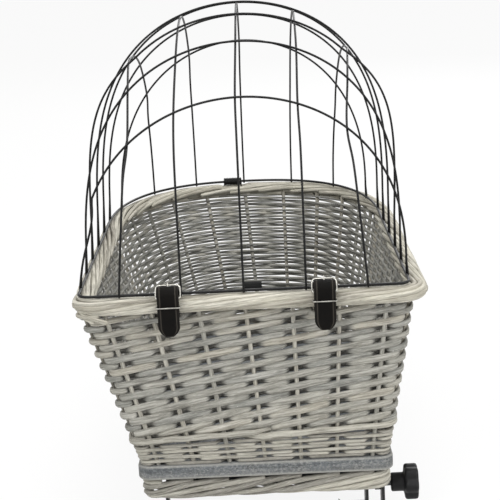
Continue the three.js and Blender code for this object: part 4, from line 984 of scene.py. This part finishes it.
def lid():
    """The ring, the hoops with thicker wrapped feet, and the lengthwise wires."""
    batch = Batch()
    ring = outline(RING)
    flat = ring[np.linspace(0, len(ring), 300, endpoint=False).astype(int)]
    batch.rod(in_lid(np.c_[flat, np.zeros(len(flat))]), UP, RING_RADIUS, loop=True)
    wrap, wrap_height = 0.65, 11
    for hoop in hoops:
        path = np.array([hoop_point(hoop, a) for a in np.linspace(0, pi, 97)])
        path[0] += [1.0, 0, -3.6]
        path[-1] += [-1.0, 0, -3.6]
        wrapped = np.clip(1.6 - (path[:, 2] - path[0, 2]) / wrap_height, 0, 1)
        radius = WIRE_RADIUS + wrap * wrapped
        batch.rod(in_lid(path), [0, 1, 0], radius)
    for side in (-2, -1, 0, 1, 2):
        path = lengthwise(side)
        path[0] += [0, -1.4, -3.4]
        path[-1] += [0, 1.6, -4.2]
        batch.rod(in_lid(path), [1, 0, 0], WIRE_RADIUS)
    return batch


LID_NODES = ["lid_ring"] + [f"lid_hoop_{i + 1}" for i in range(HOOPS)]
LID_NODES += [f"lid_wire_{n}" for n in ("far_left", "left", "middle", "right", "far_right")]
lid().make("lid_wires", wire_look, "lid", "wire", *LID_NODES)


def coil():
    """The hinge's winding, with a tail down into the rim at either end."""
    batch = Batch()
    turns, radius, tail, wire = 10.5, 4.0, 13.0, 1.0
    left, right = COIL_X
    angle = np.linspace(0, 2 * pi * turns, int(turns * 28) + 1)
    x = left + (right - left) * angle / angle[-1]
    turnings = np.c_[x, HINGE_Y + radius * np.cos(angle), RING_Z + radius * np.sin(angle)]
    down = np.linspace(1, 0, 5, endpoint=False)[:, None]
    first = turnings[0] - down * [0, 0, tail]
    last = turnings[-1] - down[::-1] * [0, 0, tail]
    batch.rod(np.vstack([first, turnings, last]), [1, 0, 0], wire)
    return batch


coil().make("hinge_winding", wire_look, "basket", "wire", "hinge_coil")


# Straps and buckles

STRAP_HALF = 10.8
# Half the leather's thickness
LAYER = 1.0
FRAME_RADIUS, FRAME_LENGTH, FRAME_CORNER = 1.1, 15.0, 4.0
FRAME_WIRE = 0.96
PRONG_RADIUS, PRONG_OVER = 0.9, 2.2
KEEPER_RADIUS, KEEPER_DROP, KEEPER_CORNER = 0.7, 9.3, 1.5
HEEL_DROP, FOLD_DROP, TAIL_DROP, TIP = 1.0, 19.0, 39.7, 9.0
RIM_FRONT_Y, RIM_INNER_Y = RIM.front - 12.0, RIM.front + 12.0
HEEL_Y = RIM_FRONT_Y - 3.5
FRAME_TILT = radians(45)
# The strap's three runs down the rim's front: against the rim, the folded end and the loose tail
BACK_Y = RIM_FRONT_Y - RUN_GAP - LAYER
FOLD_Y = BACK_Y - 2 * LAYER - 2 * KEEPER_RADIUS - 2 * GAP
TAIL_Y = FOLD_Y - 2 * LAYER - RUN_GAP


def strap_line():
    """The strap from its folded end about the buckle's heel, round the rim, and through the buckle."""
    fold = FRAME_RADIUS + RUN_GAP + LAYER
    under = WALL_TOP_Z - 1.6 - RING_Z
    inside = RIM_INNER_Y + 2 * RUN_GAP + LAYER
    top = RING_RADIUS + RUN_GAP + LAYER
    over = 2 * LAYER + fold + RUN_GAP + LAYER
    ease, bend = 1.7, 4.5

    def around(angle, radius):
        a = radians(angle)
        return [HEEL_Y + radius * cos(a), -HEEL_DROP + radius * sin(a)]

    return [
        [FOLD_Y, -FOLD_DROP], [FOLD_Y, -KEEPER_DROP],
        around(180, fold), around(135, fold), around(90, fold), around(45, fold),
        [BACK_Y, -HEEL_DROP - 1.5], [BACK_Y, -KEEPER_DROP], [BACK_Y, under + bend],
        [BACK_Y + 0.6 * bend, under + 0.15 * bend], [BACK_Y + 2 * bend, under],
        [RIM_INNER_Y - 2 * bend, under], [inside - 0.6 * bend, under + 0.15 * bend],
        [inside, under + bend], [inside, (under + top) / 2], [inside, -bend],
        [inside - bend, top - 0.4 * bend], [inside - 2.2 * bend, top], [0, top],
        [HEEL_Y / 2, top + 3.1], around(100, over + 6.1), around(135, over + 2.6), around(178, over),
        [TAIL_Y, -KEEPER_DROP], [TAIL_Y, -KEEPER_DROP - 2 * bend],
        [TAIL_Y + 0.7 * ease, -TAIL_DROP + TIP], [TAIL_Y + ease, -TAIL_DROP],
    ]


# Half the strap's face from the middle to the edge: way to the edge, height in layers and tint
STRAP_FACE = [
    (STRAP_HALF, 1.03, 0), (4.2, 1.0, 0), (3.5, 1.0, 0.2), (3.2, 0.62, 1.0), (2.7, 0.62, 1.0),
    (2.4, 1.0, 0.2), (1.2, 0.98, 0.05), (0.35, 0.72, 0.2), (0.0, 0.25, 0.4),
]


def band(batch, x, line, widths):
    """A leather band along a line across the rim, grooved along its edges on both faces."""
    along = unit(np.gradient(line, axis=0))
    side = np.c_[-along[:, 1], along[:, 0]]
    half_face = [(STRAP_HALF - p, n, t) for p, n, t in STRAP_FACE]
    face = [(-p, n, t) for p, n, t in reversed(half_face)] + half_face[1:]
    section = [(p, -n, t) for p, n, t in face] + list(reversed(face))
    section.reverse()
    rings = [
        [(x + p * share, point[0] + normal[0] * n * LAYER, point[1] + normal[1] * n * LAYER + RING_Z)
         for p, n, _ in section]
        for point, normal, share in zip(line, side, widths)
    ]
    batch.skin(rings, [t for _, _, t in section])


def tip_share(height):
    """Share of the strap's width at a height above the tip's end."""
    q = np.linspace(0, 1, 40)
    h = (1 - q) ** 2 * TIP + 2 * q * (1 - q) * TIP * 0.24 - q**2
    w = (1 - q) ** 2 + 2 * q * (1 - q) * 0.86 + q**2 * 0.2
    return np.interp(height, h[::-1], w[::-1])


def strap(side, x):
    batch = Batch()
    line = spline(strap_line(), 8)
    tail_share = 0.85
    on_tail = np.linspace(0, 1, len(line)) > tail_share
    widths = np.where(on_tail, tip_share(line[:, 1] + TAIL_DROP), 1.0)
    band(batch, x, line, widths)
    batch.make(f"leather_{side}", leather_look, "basket", "leather", f"strap_{side}")


def rounded_loop(half, low, high, low_corner, high_corner):
    """A loop bent to a rounded rectangle, in its own plane."""
    points = []
    for y, corner, start in ((low + low_corner, low_corner, -90), (high - high_corner, high_corner, 0)):
        for a in np.radians(np.linspace(start, start + 90, 9)):
            points.append((half - corner + corner * cos(a), y + corner * sin(a), 0.0))
    right = np.array(points)
    return np.vstack([right, right[::-1] * [-1, 1, 1]])


def in_frame(points, x):
    """Points of a buckle's own plane, tilted about its heel, in the drawing's frame."""
    p = np.asarray(points, float)
    c, s = cos(FRAME_TILT), sin(FRAME_TILT)
    y = HEEL_Y + c * p[:, 1] - s * p[:, 2]
    return np.c_[p[:, 0] + x, y, RING_Z - HEEL_DROP + s * p[:, 1] + c * p[:, 2]]


def buckle(side, x):
    tilt_normal = [0, -sin(FRAME_TILT), cos(FRAME_TILT)]
    ring = Batch()
    half = STRAP_HALF + RUN_GAP + FRAME_RADIUS
    loop = rounded_loop(half, 0, FRAME_LENGTH, FRAME_CORNER / 2, FRAME_CORNER)
    ring.rod(in_frame(loop, x), tilt_normal, FRAME_WIRE, sides=10, loop=True)
    ring.make(f"buckle_{side}_frame", nickel_look, f"buckle_{side}", "nickel", f"buckle_frame_{side}")
    pin = Batch()
    reach = FRAME_RADIUS + GAP + PRONG_RADIUS
    curl = [(0, reach * cos(a), reach * sin(a))
            for a in np.linspace(2 * pi, pi / 2, 22)]
    shank = [(0, y, reach) for y in np.linspace(1.5, FRAME_LENGTH + PRONG_OVER, 10)]
    path = in_frame(curl + shank, x)
    size = np.full(len(path), PRONG_RADIUS)
    size[-2:] = PRONG_RADIUS * 0.85, PRONG_RADIUS * 0.6
    pin.rod(path, [1, 0, 0], size)
    pin.make(f"buckle_{side}_prong", nickel_look, f"prong_{side}", "nickel", f"buckle_prong_{side}")


def keeper(side, x):
    batch = Batch()
    back = RIM_FRONT_Y - RUN_GAP - 2 * LAYER - GAP - KEEPER_RADIUS
    front = TAIL_Y - LAYER - RUN_GAP - KEEPER_RADIUS
    half = STRAP_HALF + RUN_GAP + KEEPER_RADIUS
    loop = rounded_loop(half, front, back, KEEPER_CORNER, KEEPER_CORNER)
    batch.rod(loop + [x, 0, RING_Z - KEEPER_DROP], UP, KEEPER_RADIUS, loop=True)
    batch.make(f"keeper_{side}", nickel_look, "basket", "nickel", f"strap_keeper_{side}")


for side_name, strap_x in zip(("left", "right"), STRAP_CENTRES):
    strap(side_name, strap_x)
    buckle(side_name, strap_x)
    keeper(side_name, strap_x)


# Tether loop


def signed_power(v, power):
    return np.sign(v) * np.abs(v) ** power


def tether():
    """A flat band bent to a loop, leaning as the wall does."""
    batch = Batch()
    low, high = (np.array(corner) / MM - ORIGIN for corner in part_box("tether_loop"))
    middle = (low + high) / 2
    half, tall = (high[0] - low[0]) / 2, (high[2] - low[2]) / 2
    depth, thick, bevel, edge = 3.0, 0.9, 0.4, 0.5
    lean = ((high[1] - low[1]) - 2 * depth) / (high[2] - low[2])
    angle = np.linspace(0, 2 * pi, 40, endpoint=False)
    y = (depth - thick) * signed_power(np.cos(angle), 0.55)
    z = (tall - thick) * signed_power(np.sin(angle), 0.75)
    path = np.c_[np.full_like(y, middle[0]), middle[1] + y + lean * z, middle[2] + z]
    outward = unit(np.c_[np.zeros_like(y), y / depth**2, z / tall**2])
    section = [(-half, -edge), (-half + bevel, -thick), (half - bevel, -thick), (half, -edge), (half, edge),
               (half - bevel, thick), (-half + bevel, thick), (-half, edge)]
    rings = [[p + n * v + np.array([a, 0, 0]) for a, v in section] for p, n in zip(path, outward)]
    batch.skin(rings, loop=True)
    return batch


tether().make("tether_band", webbing_look, "basket", "webbing", "tether_loop")


# Clamps

KNOB_X = 131.7
CLAMP_NODES = (
    "rail", "jaw", "rail_nut", "bolt_left", "bolt_right", "spacer_left", "spacer_right", "nut_left",
    "nut_right",
)


def turned(y, angle, sizes):
    """A body about a screw's axis, by the places along it and the radius at each."""
    batch = Batch()
    batch.skin([
        np.c_[np.full_like(angle, x), y + size * np.cos(angle), SCREW_Z + size * np.sin(angle)]
        for x, size in sizes
    ])
    return batch


def knob(y):
    """A star knob with a round neck and a round hollow in its face."""
    angle = np.linspace(0, 2 * pi, 96, endpoint=False)
    lobes = 15.9 + 3.1 * (0.5 + 0.5 * np.cos(6 * angle)) ** 0.65
    # Distance along the axis and radius, and for the star its share of the full size
    neck = [(0.0, 8.4), (0.5, 9.5), (1.4, 10.0), (12.4, 10.0), (13.3, 10.5)]
    star = [(13.9, 0.76), (14.3, 0.9), (15.2, 0.97), (16.8, 1.0), (25.6, 1.0), (27.2, 0.975), (28.2, 0.9),
            (28.5, 0.82), (28.5, 0.66)]
    hollow = [(28.3, 9.6), (27.4, 9.0), (27.4, 1.0)]
    sizes = neck + [(x, lobes * share) for x, share in star] + hollow
    return turned(y, angle, [(KNOB_X + x, size) for x, size in sizes])


def screw(y):
    """A screw with two plain collars and a cut thread."""
    pitch, radius, depth, core_radius = 1.25, 4.0, 0.55, 3.9
    thread_x, thread_step, end_x = 110.2, 0.21, 146.4
    sizes = [(101.2, 3.6), (101.5, 4.8), (103.4, 5.0), (103.7, 4.9), (103.7, 4.0), (107.3, 4.0),
             (107.3, 4.9), (109.5, 5.0), (109.8, 4.8), (109.8, 4.0)]
    angle = np.linspace(0, 2 * pi, 24, endpoint=False)
    for x in np.arange(thread_x, KNOB_X + 0.5, thread_step):
        phase = np.mod(x / pitch - angle / (2 * pi), 1)
        sizes.append((x, radius - depth * np.abs(2 * phase - 1)))
    return turned(y, angle, [*sizes, (KNOB_X + 1, core_radius), (end_x, core_radius)])


for end, clamp_y in CLAMP_Y.items():
    knob(clamp_y).make(f"{end}_star_knob", plastic_look, f"{end}_knob", "plastic", f"{end}_clamp_knob")
    screw(clamp_y).make(f"{end}_thread", zinc_look, f"{end}_knob", "zinc", f"{end}_clamp_screw")
    for node in CLAMP_NODES:
        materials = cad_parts[f"{end}_clamp_{node}"].data.materials
        materials.clear()
        materials.append(steel_look)


# Floor, light and camera

WHITE = (1, 1, 1, 1)
FLOOR_REACH, FLOOR_DROP = 30.0, 0.0003


def lit_white(tree, shaded, output, strength):
    """Makes a shader look white to the camera and in mirrors and glass."""
    rays = add_node(tree, "ShaderNodeLightPath").outputs

    def combined(operation, a, b):
        return add_node(tree, "ShaderNodeMath", {0: a, 1: b}, operation=operation).outputs[0]

    seen = combined("MAXIMUM", rays["Is Camera Ray"], rays["Is Glossy Ray"])
    seen = combined("MAXIMUM", seen, rays["Is Transmission Ray"])
    share = combined("MULTIPLY", seen, strength)
    white = add_node(tree, "ShaderNodeEmission", {"Color": WHITE}).outputs[0]
    mixed = add_node(tree, "ShaderNodeMixShader", {0: share, 1: shaded, 2: white}).outputs[0]
    tree.links.new(mixed, tree.nodes[output].inputs["Surface"])


floor_mesh = bpy.data.meshes.new("floor")
corners = [(x * FLOOR_REACH, y * FLOOR_REACH, 0) for x, y in ((-1, -1), (1, -1), (1, 1), (-1, 1))]
floor_mesh.from_pydata(corners, [], [(0, 1, 2, 3)])
floor_look = Shader("pale_floor")
floor_look.bsdf.inputs["Base Color"].default_value = (0.86, 0.86, 0.85, 1)
floor_look.bsdf.inputs["Roughness"].default_value = 0.9
lit_white(floor_look.tree, floor_look.bsdf.outputs[0], "Material Output", 0.9)
floor_mesh.materials.append(floor_look.material)
floor = add_object("floor", floor_mesh)
floor.location.z = -FLOOR_DROP

world = bpy.data.worlds.new("studio")
bpy.context.scene.world = world
world.use_nodes = True
backdrop = world.node_tree.nodes["Background"]
backdrop.inputs["Color"].default_value = WHITE
backdrop.inputs["Strength"].default_value = 0.5
lit_white(world.node_tree, backdrop.outputs[0], "World Output", 1.0)


def lamp(name, place, size, power, target=(0, 0, 0.2)):
    data = bpy.data.lights.new(name, "AREA")
    data.shape = "DISK"
    data.size = size
    data.energy = power
    made = add_object(name, data)
    made.location = place
    made.rotation_euler = (Vector(target) - Vector(place)).to_track_quat("-Z", "Y").to_euler()


lamp("key", (-1.6, -2.2, 2.6), size=1.8, power=51)
lamp("fill", (2.2, -1.8, 1.6), size=2.0, power=42)
lamp("top", (0.1, -0.4, 3.0), size=1.6, power=40)
lamp("back", (0.6, 2.6, 1.5), size=1.8, power=22, target=(0, 0, 0.25))

# The camera as fitted to the photograph, from the middle of the lid ring's front wire
CAMERA = np.array([21.5, -1513.8, 432.9])
YAW, PITCH, ROLL = radians(-0.5), radians(14.5), radians(-2.7)
LENS, SENSOR = 113.1, 36.0
forward = np.array([sin(YAW) * cos(PITCH), cos(YAW) * cos(PITCH), -sin(PITCH)])
level = np.array([cos(YAW), -sin(YAW), 0.0])
above = np.cross(level, forward)
across = cos(ROLL) * level + sin(ROLL) * above
upward = -sin(ROLL) * level + cos(ROLL) * above
camera_data = bpy.data.cameras.new("photo")
camera_data.lens = LENS
camera_data.sensor_width = SENSOR
camera_data.clip_start = 0.05
camera = add_object("photo", camera_data)
turn = Matrix(np.c_[across, upward, -forward].tolist()).to_4x4()
camera.matrix_world = Matrix.Translation(Vector(row(in_lid(CAMERA)).tolist())) @ turn
bpy.context.scene.camera = camera
bpy.context.scene.view_settings.view_transform = "Standard"
